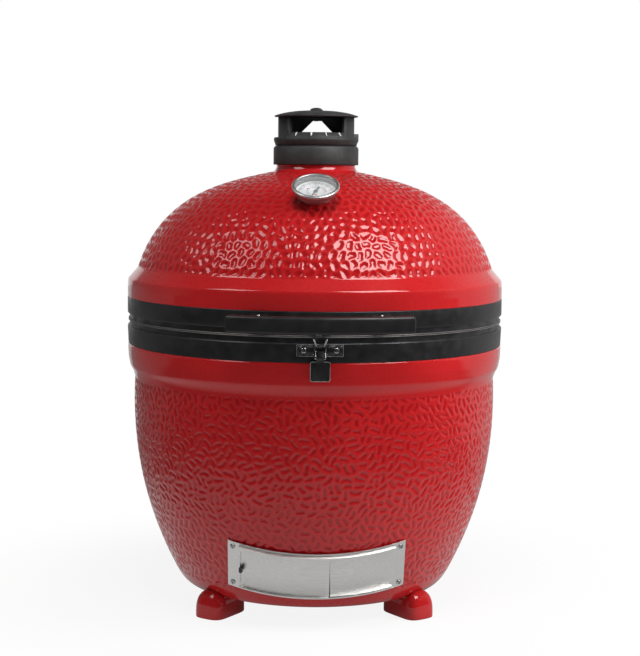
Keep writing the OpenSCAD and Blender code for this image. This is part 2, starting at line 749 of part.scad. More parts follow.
// At rest the needle's thin end points to seven o'clock, the cold end of the dial
module thermometer_pointer() {
  color([0.1, 0.1, 0.1]) at_thermometer() rotate([0, 0, 157]) {
    translate([0, 0, dial_z + 1.6]) linear_extrude(0.8)
      polygon([[-1.7, -15.5], [1.7, -15.5], [1.1, 0], [0.4, 27], [-0.4, 27], [-1.1, 0]]);
    translate([0, 0, dial_z + 1]) cylinder(h = 2.4, r = 3.4);
    translate([0, 0, 8.2]) cylinder(h = dial_z - 6, r = 1.2);
  }
}

module thermometer_stem() {
  color("silver") at_thermometer() {
    translate([0, 0, -36]) cylinder(h = 44, r = 5);
    translate([0, 0, -108]) cylinder(h = 75, r = 3.4);
  }
}

module thermometer_nut() {
  color("gray") at_thermometer() difference() {
    union() {
      translate([0, 0, -34.2]) cylinder(h = 5, r = 9.4, $fn = 6);
      translate([0, 0, -29.4]) cylinder(h = 1.6, r = 13);
    }
    translate([0, 0, -40]) cylinder(h = 20, r = 5 + running);
  }
}

// ---------- top vent ----------
turn_z = vent_z + 35.6;                   // where the turning part sits on the collar
shoulder_z = vent_z + 59;                 // top of the scale's sloping shoulder
eaves_z = vent_z + 88;

module vent_gasket() {
  color("dimgray") ring(neck_seat_r + 0.1, 74.3, vent_z + 2, neck_top_z);
}

module valve_slots(z) {
  for (i = [0:2])
    at_angle(i * 120) sector(-28, 28) box2(22, z - 1, 50, z + 6);
}

module vent_collar() {
  z = vent_z;
  color([0.2, 0.2, 0.2]) difference() {
    rotate_extrude() polygon([
      [74.4, z], [vent_r - 0.6, z], [vent_r, z + 0.8], [vent_r, z + 30.5], [vent_r - 1.4, z + 32.8],
      [vent_r - 3.6, z + 35], [66, z + 35], [66, z + 24], [0, z + 24], [0, z + 20], [66, z + 20],
      [66, neck_top_z + 0.3], [74.4, neck_top_z + 0.3]]);
    valve_slots(z + 20);
    translate([0, 0, z]) cylinder(h = 40, r = 4.05);
  }
}

module vent_damper() {
  z = vent_z + 24.4;
  color([0.24, 0.24, 0.24]) difference() {
    union() {
      translate([0, 0, z]) cylinder(h = 3, r = 64.5);
      translate([0, 0, z]) cylinder(h = 14.6, r = 9);
      translate([0, 0, vent_z + 16]) cylinder(h = 31, r = 4);
    }
    at_angle(60) valve_slots(z);
  }
}

// Waisted grip ring with a side tab and a sloping scale at the front and back, two side walls,
// and a web with a trapezoid window under the roof
module vent_rotor() {
  z = turn_z;
  web = [[32, shoulder_z - 8], [58, shoulder_z - 12], [66, shoulder_z - 12], [66, eaves_z - 0.2],
         [-66, eaves_z - 0.2], [-66, shoulder_z - 12], [-58, shoulder_z - 12],
         [-28.5, shoulder_z - 8], [-28.5, shoulder_z], [-6, eaves_z - 6.5], [10, eaves_z - 6.5],
         [32, shoulder_z]];
  color([0.2, 0.2, 0.2]) difference() {
    union() {
      rotate_extrude() polygon([
        [60, z], [vent_r - 3.6, z], [vent_r - 2.4, z + 4.5], [vent_r - 0.6, z + 8.5],
        [vent_r - 0.4, z + 13], [vent_r - 2, z + 15], [60, z + 15]]);
      for (side = [0, 180])
        at_angle(side) sector(-49, 49) polygon([
          [61, z + 14], [vent_r - 2.4, z + 14], [vent_r - 2.4, z + 15.2], [68.5, shoulder_z + 0.5],
          [61, shoulder_z + 0.5]]);
      at_angle(90) sector(-11, 11) box2(62, z + 9, vent_r - 0.2, z + 22);
      for (s = [-1, 1])
        at_angle(s * 90) sector(-44, 44) box2(62.5, z + 4, 71, eaves_z - 0.2);
      translate([0, 7, 0]) rotate([90, 0, 0]) linear_extrude(14) polygon(web);
      translate([-61, -6, z + 4]) cube([122, 12, 6]);
      translate([0, 0, z + 4.2]) difference() {
        cylinder(h = 4, r = 61);
        translate([0, 0, -1]) cylinder(h = 6, r = 55);
      }
    }
    translate([0, 0, z]) cylinder(h = 60, r = 4.3);
  }
}

module vent_roof() {
  z = eaves_z;
  color([0.15, 0.15, 0.15]) rotate_extrude() polygon([
    [4.3, z - 0.1], [72, z - 0.1], [76.5, z + 0.4], [vent_r - 1, z + 1.6], [vent_r - 1, z + 2.6],
    [70, z + 5.4], [57, z + 8.6], [38, z + 11.4], [18, z + 12.6], [4.3, z + 12.8]]);
}

module vent_finial() {
  z = eaves_z + 12.9;
  color([0.15, 0.15, 0.15]) {
    rotate_extrude() polygon([[0, z], [12, z], [10.5, z + 2.4], [7, z + 4.4], [2, z + 5.1],
                              [0, z + 5.1]]);
    translate([0, 0, eaves_z - 7.6]) cylinder(h = z - eaves_z + 8, r = 4);
  }
}

base_shell();
foot_front_left();
foot_front_right();
foot_rear();
lower_band();
lower_clamp_bolt();
lower_clamp_nut();
lower_gasket();
firebox();
fire_ring();
charcoal_grate();
accessory_rack();
heat_deflector_left();
heat_deflector_right();
cooking_grate_left();
cooking_grate_right();
draft_frame();
draft_frame_screws();
draft_panel();
draft_door();
draft_door_knob();
spark_screen();
hinge_lower_bracket();
hinge_lower_bolts();
hinge_pin();
hinge_pin_clips();
hinge_bushes();
hinge_spring_left();
hinge_spring_right();
hinge_upper_bracket();
hinge_upper_bolts();
upper_band();
upper_clamp_bolt();
upper_clamp_nut();
upper_gasket();
dome_shell();
handle_bar();
handle_brackets();
handle_bolts();
latch_keeper();
latch_plate();
latch_screws();
latch_lever();
latch_lever_pin();
latch_hook();
latch_hook_pin();
thermometer_case();
thermometer_bezel();
thermometer_dial();
thermometer_lens();
thermometer_pointer();
thermometer_stem();
thermometer_nut();
thermometer_gasket();
vent_gasket();
vent_collar();
vent_rotor();
vent_damper();
vent_roof();
vent_finial();
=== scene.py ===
"""The looks of a kamado ceramic grill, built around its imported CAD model. Lengths are in metres."""

import json
import math

import bmesh
import bpy
import numpy as np
from mathutils import Matrix, Vector

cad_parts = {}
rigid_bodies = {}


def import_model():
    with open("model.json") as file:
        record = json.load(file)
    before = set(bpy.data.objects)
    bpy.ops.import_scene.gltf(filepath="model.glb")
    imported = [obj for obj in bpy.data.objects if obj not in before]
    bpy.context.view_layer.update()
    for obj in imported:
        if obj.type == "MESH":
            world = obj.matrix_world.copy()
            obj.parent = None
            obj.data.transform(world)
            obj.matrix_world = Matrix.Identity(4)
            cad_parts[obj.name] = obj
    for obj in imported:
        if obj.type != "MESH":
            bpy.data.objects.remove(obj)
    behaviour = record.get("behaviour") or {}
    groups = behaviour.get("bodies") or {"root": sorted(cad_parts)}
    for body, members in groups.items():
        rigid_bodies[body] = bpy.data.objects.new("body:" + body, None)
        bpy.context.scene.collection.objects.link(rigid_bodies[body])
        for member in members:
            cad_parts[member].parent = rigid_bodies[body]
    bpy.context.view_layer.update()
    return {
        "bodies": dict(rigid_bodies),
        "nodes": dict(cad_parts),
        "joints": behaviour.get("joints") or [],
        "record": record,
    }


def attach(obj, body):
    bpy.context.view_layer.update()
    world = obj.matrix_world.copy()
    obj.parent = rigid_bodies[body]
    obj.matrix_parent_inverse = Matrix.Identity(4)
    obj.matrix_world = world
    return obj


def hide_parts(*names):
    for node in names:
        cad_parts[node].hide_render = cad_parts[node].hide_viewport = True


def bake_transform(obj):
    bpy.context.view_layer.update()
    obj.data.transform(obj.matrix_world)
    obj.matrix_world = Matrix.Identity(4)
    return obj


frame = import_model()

MM = 0.001
NODES = frame["nodes"]
JOINTS = {joint["name"]: joint for joint in frame["joints"]}


# ---------- node trees ----------
def add(tree, kind, inputs=None, **settings):
    """Adds a shader node. A socket among the inputs is linked, and any other value is set."""
    made = tree.nodes.new("ShaderNode" + kind)
    for name, value in settings.items():
        setattr(made, name, value)
    for name, value in (inputs or {}).items():
        socket = made.inputs[name]
        if isinstance(value, bpy.types.NodeSocket):
            tree.links.new(value, socket)
        else:
            socket.default_value = value
    return made


def rgb(red, green, blue):
    return (red, green, blue, 1.0)


def new_material(name):
    """An empty material, with its tree and the place that its texture nodes read from."""
    material = bpy.data.materials.new(name)
    material.use_nodes = True
    tree = material.node_tree
    tree.nodes.clear()
    place = add(tree, "TexCoord").outputs["Object"]
    return material, tree, place


def noise(tree, place, scale, detail=3.0, roughness=0.5):
    made = add(tree, "TexNoise", {"Vector": place, "Scale": scale, "Detail": detail, "Roughness": roughness})
    return made.outputs["Fac"]


def stretched(tree, place, scale):
    return add(tree, "Mapping", {"Vector": place, "Scale": scale}).outputs["Vector"]


def between(tree, factor, low, high):
    """A number that runs from low to high as the factor runs over a noise texture's usual span."""
    return add(tree, "MapRange", {"Value": factor, "From Min": 0.3, "From Max": 0.7,
                                  "To Min": low, "To Max": high}).outputs["Result"]


def mixed(tree, factor, first, second):
    made = add(tree, "Mix", data_type="RGBA")
    for value, socket in ((factor, made.inputs[0]), (first, made.inputs[6]), (second, made.inputs[7])):
        if isinstance(value, bpy.types.NodeSocket):
            tree.links.new(value, socket)
        else:
            socket.default_value = value
    return made.outputs[2]


def bumped(tree, height, distance, strength=1.0, normal=None):
    inputs = {"Height": height, "Distance": distance, "Strength": strength}
    if normal is not None:
        inputs["Normal"] = normal
    return add(tree, "Bump", inputs).outputs["Normal"]


def finish_surface(tree, inputs):
    shader = add(tree, "BsdfPrincipled", inputs)
    add(tree, "OutputMaterial", {"Surface": shader.outputs["BSDF"]})


# ---------- materials ----------
def red_glaze():
    """Fired glaze: deeper where it pools in the dimples, thinner and lighter on the ridges."""
    material, tree, place = new_material("red_glaze")
    depth = add(tree, "Attribute", attribute_name="dimple").outputs["Fac"]
    ridge = mixed(tree, between(tree, noise(tree, place, 9.0), 0.0, 1.0),
                  rgb(0.50, 0.013, 0.015), rgb(0.56, 0.017, 0.019))
    pooled = mixed(tree, depth, ridge, rgb(0.42, 0.007, 0.010))
    ripple = noise(tree, place, 55.0, 2.0)
    pores = noise(tree, place, 420.0, 2.0)
    normal = bumped(tree, ripple, 0.4 * MM, 0.2)
    normal = bumped(tree, pores, 0.03 * MM, 0.3, normal)
    finish_surface(tree, {
        "Base Color": pooled,
        "Roughness": between(tree, noise(tree, place, 130.0), 0.24, 0.34),
        "Specular IOR Level": 0.06,
        "Coat Weight": 1.0,
        "Coat Roughness": between(tree, noise(tree, place, 70.0), 0.02, 0.06),
        "Coat IOR": 1.52,
        "Normal": normal,
        "Coat Normal": normal})
    return material


def maths(tree, operation, first, second):
    return add(tree, "Math", {0: first, 1: second}, operation=operation).outputs["Value"]


def edge_wear(tree, place, width):
    """1 on the rubbed parts of sharp edges and 0 elsewhere."""
    rounded = add(tree, "Bevel", {"Radius": width}, samples=4).outputs["Normal"]
    flat = add(tree, "NewGeometry").outputs["True Normal"]
    turned_by = add(tree, "VectorMath", {0: rounded, 1: flat}, operation="DOT_PRODUCT").outputs["Value"]
    edge = add(tree, "MapRange", {"Value": turned_by, "From Min": 0.80, "From Max": 0.97,
                                  "To Min": 1.0, "To Max": 0.0}).outputs["Result"]
    rubbed = between(tree, noise(tree, place, 85.0, 5.0, 0.65), 0.0, 1.0)
    return maths(tree, "MULTIPLY", edge, rubbed)


def powder_coat(name, colour, grain, roughness):
    """Powder coat: a fine orange peel whose roughness wanders a little, rubbed paler along its edges."""
    material, tree, place = new_material(name)
    peel = noise(tree, place, grain, 2.0)
    dust = noise(tree, place, 60.0, 4.0)
    lighter = tuple(min(1.0, part * 1.5 + 0.004) for part in colour)
    paint = mixed(tree, between(tree, dust, 0.0, 1.0), rgb(*colour), rgb(*lighter))
    rubbed = tuple(part * 0.85 + 0.055 for part in colour)
    finish_surface(tree, {
        "Base Color": mixed(tree, edge_wear(tree, place, 0.9 * MM), paint, rgb(*rubbed)),
        "Roughness": between(tree, dust, roughness - 0.05, roughness + 0.06),
        "Normal": bumped(tree, peel, 0.12 * MM, 0.5)})
    return material


def brushed_metal(name, colour, along, roughness, metallic=1.0):
    """Steel brushed along one axis: long streaks in colour, roughness and height."""
    material, tree, place = new_material(name)
    squeeze = [700.0, 700.0, 700.0]
    squeeze[along] = 12.0
    streaks = noise(tree, stretched(tree, place, squeeze), 1.0, 3.0)
    stains = noise(tree, place, 26.0, 4.0, 0.6)
    darker = tuple(part * 0.82 for part in colour)
    base = mixed(tree, between(tree, streaks, 0.0, 1.0), rgb(*darker), rgb(*colour))
    finish_surface(tree, {
        "Base Color": mixed(tree, between(tree, stains, 0.0, 0.3), base, rgb(*darker)),
        "Metallic": metallic,
        "Roughness": between(tree, streaks, roughness - 0.06, roughness + 0.08),
        "Normal": bumped(tree, streaks, 0.04 * MM, 0.4)})
    return material


def turned_metal(name, colour, roughness, metallic=1.0):
    """Plain machined or drawn steel with faint wear. Less metallic stands for a dull, hazy surface."""
    material, tree, place = new_material(name)
    wear = noise(tree, place, 190.0, 4.0, 0.6)
    darker = tuple(part * 0.72 for part in colour)
    finish_surface(tree, {
        "Base Color": mixed(tree, between(tree, wear, 0.0, 1.0), rgb(*darker), rgb(*colour)),
        "Metallic": metallic,
        "Roughness": between(tree, wear, roughness - 0.07, roughness + 0.08),
        "Normal": bumped(tree, wear, 0.03 * MM, 0.3)})
    return material


def cast_metal(name, colour, roughness, grain, height):
    """Sand-cast metal under a matt coat."""
    material, tree, place = new_material(name)
    sand = noise(tree, place, grain, 5.0, 0.65)
    patches = noise(tree, place, 40.0, 3.0)
    lighter = tuple(part * 1.6 + 0.003 for part in colour)
    finish_surface(tree, {
        "Base Color": mixed(tree, between(tree, patches, 0.0, 1.0), rgb(*colour), rgb(*lighter)),
        "Roughness": between(tree, sand, roughness - 0.08, roughness + 0.1),
        "Normal": bumped(tree, sand, height, 0.8)})
    return material


def felt(name, colour):
    """Felt rope: a fuzz of fine fibres with a soft sheen."""
    material, tree, place = new_material(name)
    fibres = noise(tree, place, 900.0, 6.0, 0.8)
    clumps = noise(tree, place, 150.0, 3.0)
    lighter = tuple(part * 2.2 + 0.01 for part in colour)
    finish_surface(tree, {
        "Base Color": mixed(tree, between(tree, clumps, 0.0, 1.0), rgb(*colour), rgb(*lighter)),
        "Roughness": 0.95,
        "Sheen Weight": 0.5,
        "Normal": bumped(tree, fibres, 0.5 * MM, 0.9)})
    return material


def refractory():
    """Fired clay: sandy, with specks of grog and soot."""
    material, tree, place = new_material("refractory")
    sand = noise(tree, place, 260.0, 6.0, 0.7)
    soot = noise(tree, place, 11.0, 4.0, 0.6)
    grog = add(tree, "TexVoronoi", {"Vector": place, "Scale": 190.0}).outputs["Distance"]
    clay = mixed(tree, between(tree, sand, 0.0, 1.0), rgb(0.50, 0.37, 0.25), rgb(0.66, 0.53, 0.39))
    specks = add(tree, "MapRange", {"Value": grog, "From Min": 0.08, "From Max": 0.16,
                                    "To Min": 0.7, "To Max": 0.0}).outputs["Result"]
    clay = mixed(tree, specks, clay, rgb(0.23, 0.16, 0.11))
    finish_surface(tree, {
        "Base Color": mixed(tree, between(tree, soot, 0.0, 0.45), clay, rgb(0.16, 0.12, 0.10)),
        "Roughness": 0.88,
        "Normal": bumped(tree, sand, 0.6 * MM, 0.6)})
    return material


def moulded(name, colour, roughness):
    """Moulded plastic or rubber with a fine spark-eroded grain."""
    material, tree, place = new_material(name)
    grain = noise(tree, place, 1500.0, 2.0)
    haze = noise(tree, place, 45.0, 3.0)
    lighter = tuple(part * 1.35 + 0.002 for part in colour)
    finish_surface(tree, {
        "Base Color": mixed(tree, between(tree, haze, 0.0, 1.0), rgb(*colour), rgb(*lighter)),
        "Roughness": between(tree, haze, roughness - 0.04, roughness + 0.06),
        "Normal": bumped(tree, grain, 0.06 * MM, 0.5)})
    return material


def lens_glass():
    material, tree, place = new_material("lens_glass")
    smear = noise(tree, place, 60.0, 3.0)
    finish_surface(tree, {
        "Base Color": rgb(0.97, 0.99, 0.99),
        "Roughness": between(tree, smear, 0.01, 0.05),
        "IOR": 1.45,
        "Alpha": 0.1})
    return material


MATERIALS = {
    "red_glaze": red_glaze(),
    "black_powder_coat": powder_coat("black_powder_coat", (0.012, 0.012, 0.013), 1300.0, 0.36),
    "handle_black": moulded("handle_black", (0.011, 0.011, 0.012), 0.38),
    "felt": felt("felt", (0.02, 0.02, 0.021)),
    "silicone": moulded("silicone", (0.03, 0.03, 0.03), 0.6),
    "refractory": refractory(),
    "cast_iron": cast_metal("cast_iron", (0.022, 0.021, 0.021), 0.7, 700.0, 0.4 * MM),
    "stainless_wire": turned_metal("stainless_wire", (0.62, 0.61, 0.59), 0.26),
    "brushed_stainless": brushed_metal("brushed_stainless", (0.92, 0.91, 0.89), 0, 0.36),
    "fastener_steel": turned_metal("fastener_steel", (0.66, 0.66, 0.66), 0.24),
    "spring_steel": turned_metal("spring_steel", (0.28, 0.28, 0.30), 0.36),
    "bronze_bush": turned_metal("bronze_bush", (0.58, 0.38, 0.17), 0.38),
    "knob_black": moulded("knob_black", (0.02, 0.02, 0.02), 0.35),
    "dial_white": powder_coat("dial_white", (0.62, 0.63, 0.64), 900.0, 0.45),
    "needle_black": powder_coat("needle_black", (0.012, 0.012, 0.012), 900.0, 0.4),
    "lens_glass": lens_glass(),
    "cast_aluminium": cast_metal("cast_aluminium", (0.022, 0.022, 0.022), 0.52, 1400.0, 0.25 * MM),
}
SLOT_OF = {part["node"]: part["material_slot"] for part in frame["record"]["subparts"]}


# ---------- mesh helpers ----------
def new_piece(name, vertices, faces, slot):
    """A mesh object with smooth shading that takes a material slot's finish."""
    mesh = bpy.data.meshes.new(name)
    mesh.from_pydata([tuple(v) for v in vertices], [], faces)
    mesh.validate()
    return place_mesh(name, mesh, slot)


def place_mesh(name, mesh, slot):
    piece = bpy.data.objects.new(name, mesh)
    bpy.context.scene.collection.objects.link(piece)
    mesh.materials.append(MATERIALS[slot])
    mesh.shade_smooth()
    return piece


def outward(piece):
    """Turns every face of a piece to look outward."""
    mesh = bmesh.new()
    mesh.from_mesh(piece.data)
    bmesh.ops.recalc_face_normals(mesh, faces=mesh.faces)
    mesh.to_mesh(piece.data)
    mesh.free()


def bezier(points, count):
    """Points along a cubic curve, ends included."""
    p = np.array(points, float)
    t = np.linspace(0.0, 1.0, count)[:, None]
    return (1 - t) ** 3 * p[0] + 3 * (1 - t) ** 2 * t * p[1] + 3 * (1 - t) * t ** 2 * p[2] + t ** 3 * p[3]


def rounded_path(points, radius, steps=6):
    """A polyline whose inner corners are rounded, as an outline with eased edges."""
    p = [np.array(q, float) for q in points]
    path = [p[0]]
    for before, corner, after in zip(p[:-2], p[1:-1], p[2:]):
        a, b = before - corner, after - corner
        reach = min(radius, 0.45 * np.linalg.norm(a), 0.45 * np.linalg.norm(b))
        start = corner + a / np.linalg.norm(a) * reach
        end = corner + b / np.linalg.norm(b) * reach
        for t in np.linspace(0.0, 1.0, steps):
            path.append((1 - t) ** 2 * start + 2 * (1 - t) * t * corner + t ** 2 * end)
    path.append(p[-1])
    return np.array(path)


def resampled(path, step):
    """The path again, with points at even steps along it."""
    lengths = np.concatenate([[0.0], np.cumsum(np.linalg.norm(np.diff(path, axis=0), axis=1))])
    count = max(2, int(round(lengths[-1] / step)) + 1)
    at = np.linspace(0.0, lengths[-1], count)
    return np.stack([np.interp(at, lengths, path[:, k]) for k in (0, 1)], axis=1)


# ---------- the cast dimples of the ceramic ----------
def smooth_step(x):
    x = np.clip(x, 0.0, 1.0)
    return x * x * (3 - 2 * x)


class Dimples:
    """Bean-shaped hollows packed over a surface of revolution. The grid has even rows and columns, in mm."""

    REACH = 15.0

    def __init__(self, radii, step, columns, cell_area, length, seed):
        self.radii = radii
        self.step = step
        self.columns = columns
        self.turn = 2 * math.pi / columns
        draw = np.random.default_rng(seed)
        pitch = math.sqrt(cell_area)
        rows = int(len(radii) * step / pitch)
        angle, along = [], []
        for row in range(rows):
            s = (row + 0.5) * len(radii) * step / rows
            radius = np.interp(s, np.arange(len(radii)) * step, radii)
            count = max(3, int(round(2 * math.pi * radius / pitch)))
            angle.append((np.arange(count) + draw.uniform(0, 1) + draw.uniform(-0.35, 0.35, count))
                         * 2 * math.pi / count)
            along.append(s + draw.uniform(-0.35, 0.35, count) * pitch)
        self.angle = np.concatenate(angle)
        self.along = np.concatenate(along)
        total = len(self.angle)
        self.facing = draw.uniform(0, math.pi, total)
        self.half = draw.uniform(0.45, 1.0, total) * length / 2
        self.bend = draw.uniform(-0.035, 0.035, total)

    def nearest(self):
        """For each grid point: its nearest bean, the distances to the two nearest, and its place beside the first."""
        rows, columns = len(self.radii), self.columns
        row_reach = int(math.ceil(self.REACH / self.step))
        column_reach = int(math.ceil(self.REACH / (self.radii.min() * self.turn)))
        home_row = np.round(self.along / self.step).astype(int)
        home_column = np.round(self.angle / self.turn).astype(int)
        beans = np.arange(len(self.angle))
        found = []
        for down in range(-row_reach, row_reach + 1):
            row = home_row + down
            inside = (row >= 0) & (row < rows)
            bean, row = beans[inside], row[inside]
            radius = self.radii[row]
            across = np.arange(-column_reach, column_reach + 1)
            column = home_column[bean][:, None] + across
            x = (column * self.turn - self.angle[bean][:, None]) * radius[:, None]
            y = (row * self.step - self.along[bean])[:, None] + 0 * x
            cosine, sine = np.cos(self.facing[bean])[:, None], np.sin(self.facing[bean])[:, None]
            u = x * cosine + y * sine
            v = y * cosine - x * sine + self.bend[bean][:, None] * u * u
            distance = np.hypot(np.maximum(np.abs(u) - self.half[bean][:, None], 0.0), v)
            near = (np.abs(x) < self.REACH) & (distance < self.REACH * 0.8)
            index = row[:, None] * columns + column % columns
            which = bean[:, None] + 0 * index
            found.append([part[near] for part in (index, distance, which, x, y)])
        index, distance, which, x, y = (np.concatenate(part) for part in zip(*found))
        order = np.lexsort((distance, index))
        index, distance, which, x, y = (part[order] for part in (index, distance, which, x, y))
        first = np.concatenate([[True], index[1:] != index[:-1]])
        at = np.flatnonzero(first)
        nearest = np.full(rows * columns, self.REACH)
        second = np.full(rows * columns, self.REACH)
        nearest[index[at]] = distance[at]
        after = np.minimum(at + 1, len(index) - 1)
        paired = (index[after] == index[at]) & (after > at)
        second[index[at[paired]]] = distance[after[paired]]
        return nearest, second, which[at], x[at], y[at]

    def relax(self, rounds):
        """Moves each bean to the middle of its own ground and turns it along that ground's long axis."""
        for _ in range(rounds):
            _, _, owner, x, y = self.nearest()
            size = np.maximum(np.bincount(owner, minlength=len(self.angle)), 1)
            mean = [np.bincount(owner, part, len(self.angle)) / size for part in (x, y)]
            xx, yy, xy = (np.bincount(owner, part, len(self.angle)) / size for part in (x * x, y * y, x * y))
            xx, yy, xy = xx - mean[0] ** 2, yy - mean[1] ** 2, xy - mean[0] * mean[1]
            radius = np.interp(self.along, np.arange(len(self.radii)) * self.step, self.radii)
            self.angle = self.angle + mean[0] / radius
            self.along = self.along + mean[1]
            self.facing = 0.5 * np.arctan2(2 * xy, xx - yy)

    def depth(self, widest, ridge):
        """How deep each grid point lies: 0 on a ridge, then a bowl that reaches 1 on a hollow's floor."""
        nearest, second, _, _, _ = self.nearest()
        inside = np.minimum(widest - nearest, (second - nearest) / 2 - ridge)
        share = np.clip(inside / widest, 0.0, 1.0).reshape(len(self.radii), self.columns)
        return share * (2.0 - share)


# ---------- the ceramic shells ----------
TEXTURE_STEP = 1.7          # spacing of the dimpled mesh, in mm


def revolved(name, sections, poles, columns, slot):
    """A closed shell of revolution. Each section is (outline in mm, depth grid in mm or None, dimple grid)."""
    angles = np.arange(columns) * 2 * math.pi / columns
    rows, shades = [], []
    for outline, sunk, shade in sections:
        tangent = np.gradient(outline, axis=0)
        normal = np.stack([tangent[:, 1], -tangent[:, 0]], axis=1)
        normal /= np.maximum(np.linalg.norm(normal, axis=1), 1e-9)[:, None]
        sink = np.zeros((len(outline), columns)) if sunk is None else sunk
        rows.append(outline[:, None, :] - normal[:, None, :] * sink[:, :, None])
        shades.append(np.zeros((len(outline), columns)) if shade is None else shade)
    grid = np.concatenate(rows)
    shade = np.concatenate(shades)
    x = grid[:, :, 0] * np.sin(angles)
    y = -grid[:, :, 0] * np.cos(angles)
    points = np.stack([x, y, grid[:, :, 1]], axis=2).reshape(-1, 3) * MM
    count = len(grid)
    steps = count - 1 if poles else count
    here = (np.arange(steps)[:, None] * columns + np.arange(columns)).ravel()
    right = (np.arange(steps)[:, None] * columns + (np.arange(columns) + 1) % columns).ravel()
    up = (here + columns) % (count * columns)
    up_right = (right + columns) % (count * columns)
    quads = np.stack([here, right, up_right, up], axis=1)
    triangles = []
    if poles:
        low, high = len(points), len(points) + 1
        points = np.concatenate([points, np.array([[0, 0, poles[0] * MM], [0, 0, poles[1] * MM]])])
        around = np.arange(columns)
        beside = (around + 1) % columns
        last = (count - 1) * columns
        triangles = [np.stack([beside, around, np.full(columns, low)], axis=1),
                     np.stack([last + around, last + beside, np.full(columns, high)], axis=1)]
    return mesh_from_arrays(name, points, quads, triangles, shade, slot)


def mesh_from_arrays(name, points, quads, triangles, shade, slot):
    mesh = bpy.data.meshes.new(name)
    loops = np.concatenate([quads.ravel()] + [t.ravel() for t in triangles])
    sizes = np.concatenate([np.full(len(quads), 4)] + [np.full(len(t), 3) for t in triangles])
    mesh.vertices.add(len(points))
    mesh.vertices.foreach_set("co", points.astype(np.float32).ravel())
    mesh.loops.add(len(loops))
    mesh.loops.foreach_set("vertex_index", loops.astype(np.int32))
    mesh.polygons.add(len(sizes))
    mesh.polygons.foreach_set("loop_start", np.concatenate([[0], np.cumsum(sizes)[:-1]]).astype(np.int32))
    mesh.update(calc_edges=True)
    values = np.zeros(len(points), np.float32)
    values[:shade.size] = shade.ravel()
    mesh.attributes.new("dimple", "FLOAT", "POINT").data.foreach_set("value", values)
    mesh.validate()
    return place_mesh(name, mesh, slot)


def textured(outline, cell_area, length, widest, sink, seed, clear=None):
    """A dimpled stretch of a shell: its outline, how far each point is sunk, and its dimple value."""
    even = resampled(outline, TEXTURE_STEP)
    dimples = Dimples(even[:, 0], TEXTURE_STEP, COLUMNS, cell_area, length, seed)
    dimples.relax(3)
    value = dimples.depth(widest, ridge=1.2)
    along = np.arange(len(even)) * TEXTURE_STEP
    ends = smooth_step((along - 1.5) / 3.0) * smooth_step((along[-1] - along - 1.5) / 3.0)
    value = value * ends[:, None]
    if clear is not None:
        value = value * clear(even)
    return even, value * sink, value


COLUMNS = 1280

# The outlines below follow the CAD shells: (radius, height) in mm, from the floor and the axis
POT_HEEL = [(230, 36), (241.7, 36), (251, 46), (260, 63)]
POT_SIDE = [(260, 63), (323.4, 185), (343, 302.5), (336.5, 424)]
POT_COLLAR = [(336.5, 424), (340, 435), (345.7, 445.5), (348.6, 462), (349.2, 476), (349.2, 485.8)]
POT_RIM = [(343.9, 485.8), (343.9, 526.2), (317, 526.2), (315, 455), (311, 424)]
POT_INSIDE = [(311, 424), (319, 302), (300, 190), (238, 74)]
POT_FLOOR_Z = 60.0
LINING = 1.2             # the bare clay stands this far proud of the glaze on the inside


def draft_frame_place(points):
    """Points in mm turned into the draft door's own frame: angle from its middle, radius and height."""
    joint = JOINTS["draft_slide"]
    origin = np.array(joint["pos_m"]) / MM
    up = np.array(joint["axis"], float)
    side = np.array([1.0, 0.0, 0.0])
    front = np.cross(up, side)
    away = points - origin
    x, y, z = away @ side, away @ front, away @ up
    return np.degrees(np.arctan2(x, -y)), np.hypot(x, y), z


def cut_air_hole(pot, half_angle, half_height):
    """Opens the pot's wall behind the draft door, and lines the hole."""
    mesh = bmesh.new()
    mesh.from_mesh(pot.data)
    mesh.faces.ensure_lookup_table()
    centres = np.array([face.calc_center_median() for face in mesh.faces]) / MM
    angle, radius, height = draft_frame_place(centres)
    inside = (np.abs(angle) < half_angle) & (np.abs(height) < half_height) & (radius > 150) & (centres[:, 1] < 0)
    doomed = [mesh.faces[i] for i in np.flatnonzero(inside)]
    bmesh.ops.delete(mesh, geom=doomed, context="FACES")
    rim = [edge for edge in mesh.edges if edge.is_boundary]
    bmesh.ops.bridge_loops(mesh, edges=rim)
    bmesh.ops.recalc_face_normals(mesh, faces=mesh.faces)
    mesh.to_mesh(pot.data)
    mesh.free()


def build_pot():
    heel = bezier(POT_HEEL, 16)
    underside = np.array([(60.0, 36.0), (150.0, 36.0), (222.0, 36.0)])
    collar = resampled(rounded_path(POT_COLLAR[1:] + [(343.9, 485.8)], 2.5), 2.4)
    rim = rounded_path(POT_RIM, 1.5, 3)
    inside = resampled(bezier(POT_INSIDE, 200), 5.0)
    floor = np.array([(232.0, 66.0), (222.0, POT_FLOOR_Z), (150.0, POT_FLOOR_Z), (60.0, POT_FLOOR_Z)])
    bare = np.concatenate([inside, floor])
    hidden = np.maximum(bare + [LINING, -LINING], [60.0, 0.0])
    side = textured(bezier(POT_SIDE, 600), 265.0, 15.0, 4.4, 1.35, 11)
    sections = [(underside, None, None), (heel[:-1], None, None), side, (collar, None, None),
                (rim[1:-1], None, None), (hidden, None, None)]
    pot = revolved("pot_glazed", sections, (36.0, POT_FLOOR_Z - LINING), COLUMNS, "red_glaze")
    lining = revolved("pot_bare_inside", [(hidden[::-1], None, None), (bare, None, None)],
                      (POT_FLOOR_Z - LINING, POT_FLOOR_Z), COLUMNS // 4, "refractory")
    for piece in (pot, lining):
        cut_air_hole(piece, 24.6, 33.0)
        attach(piece, "base")
        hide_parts("base_shell")


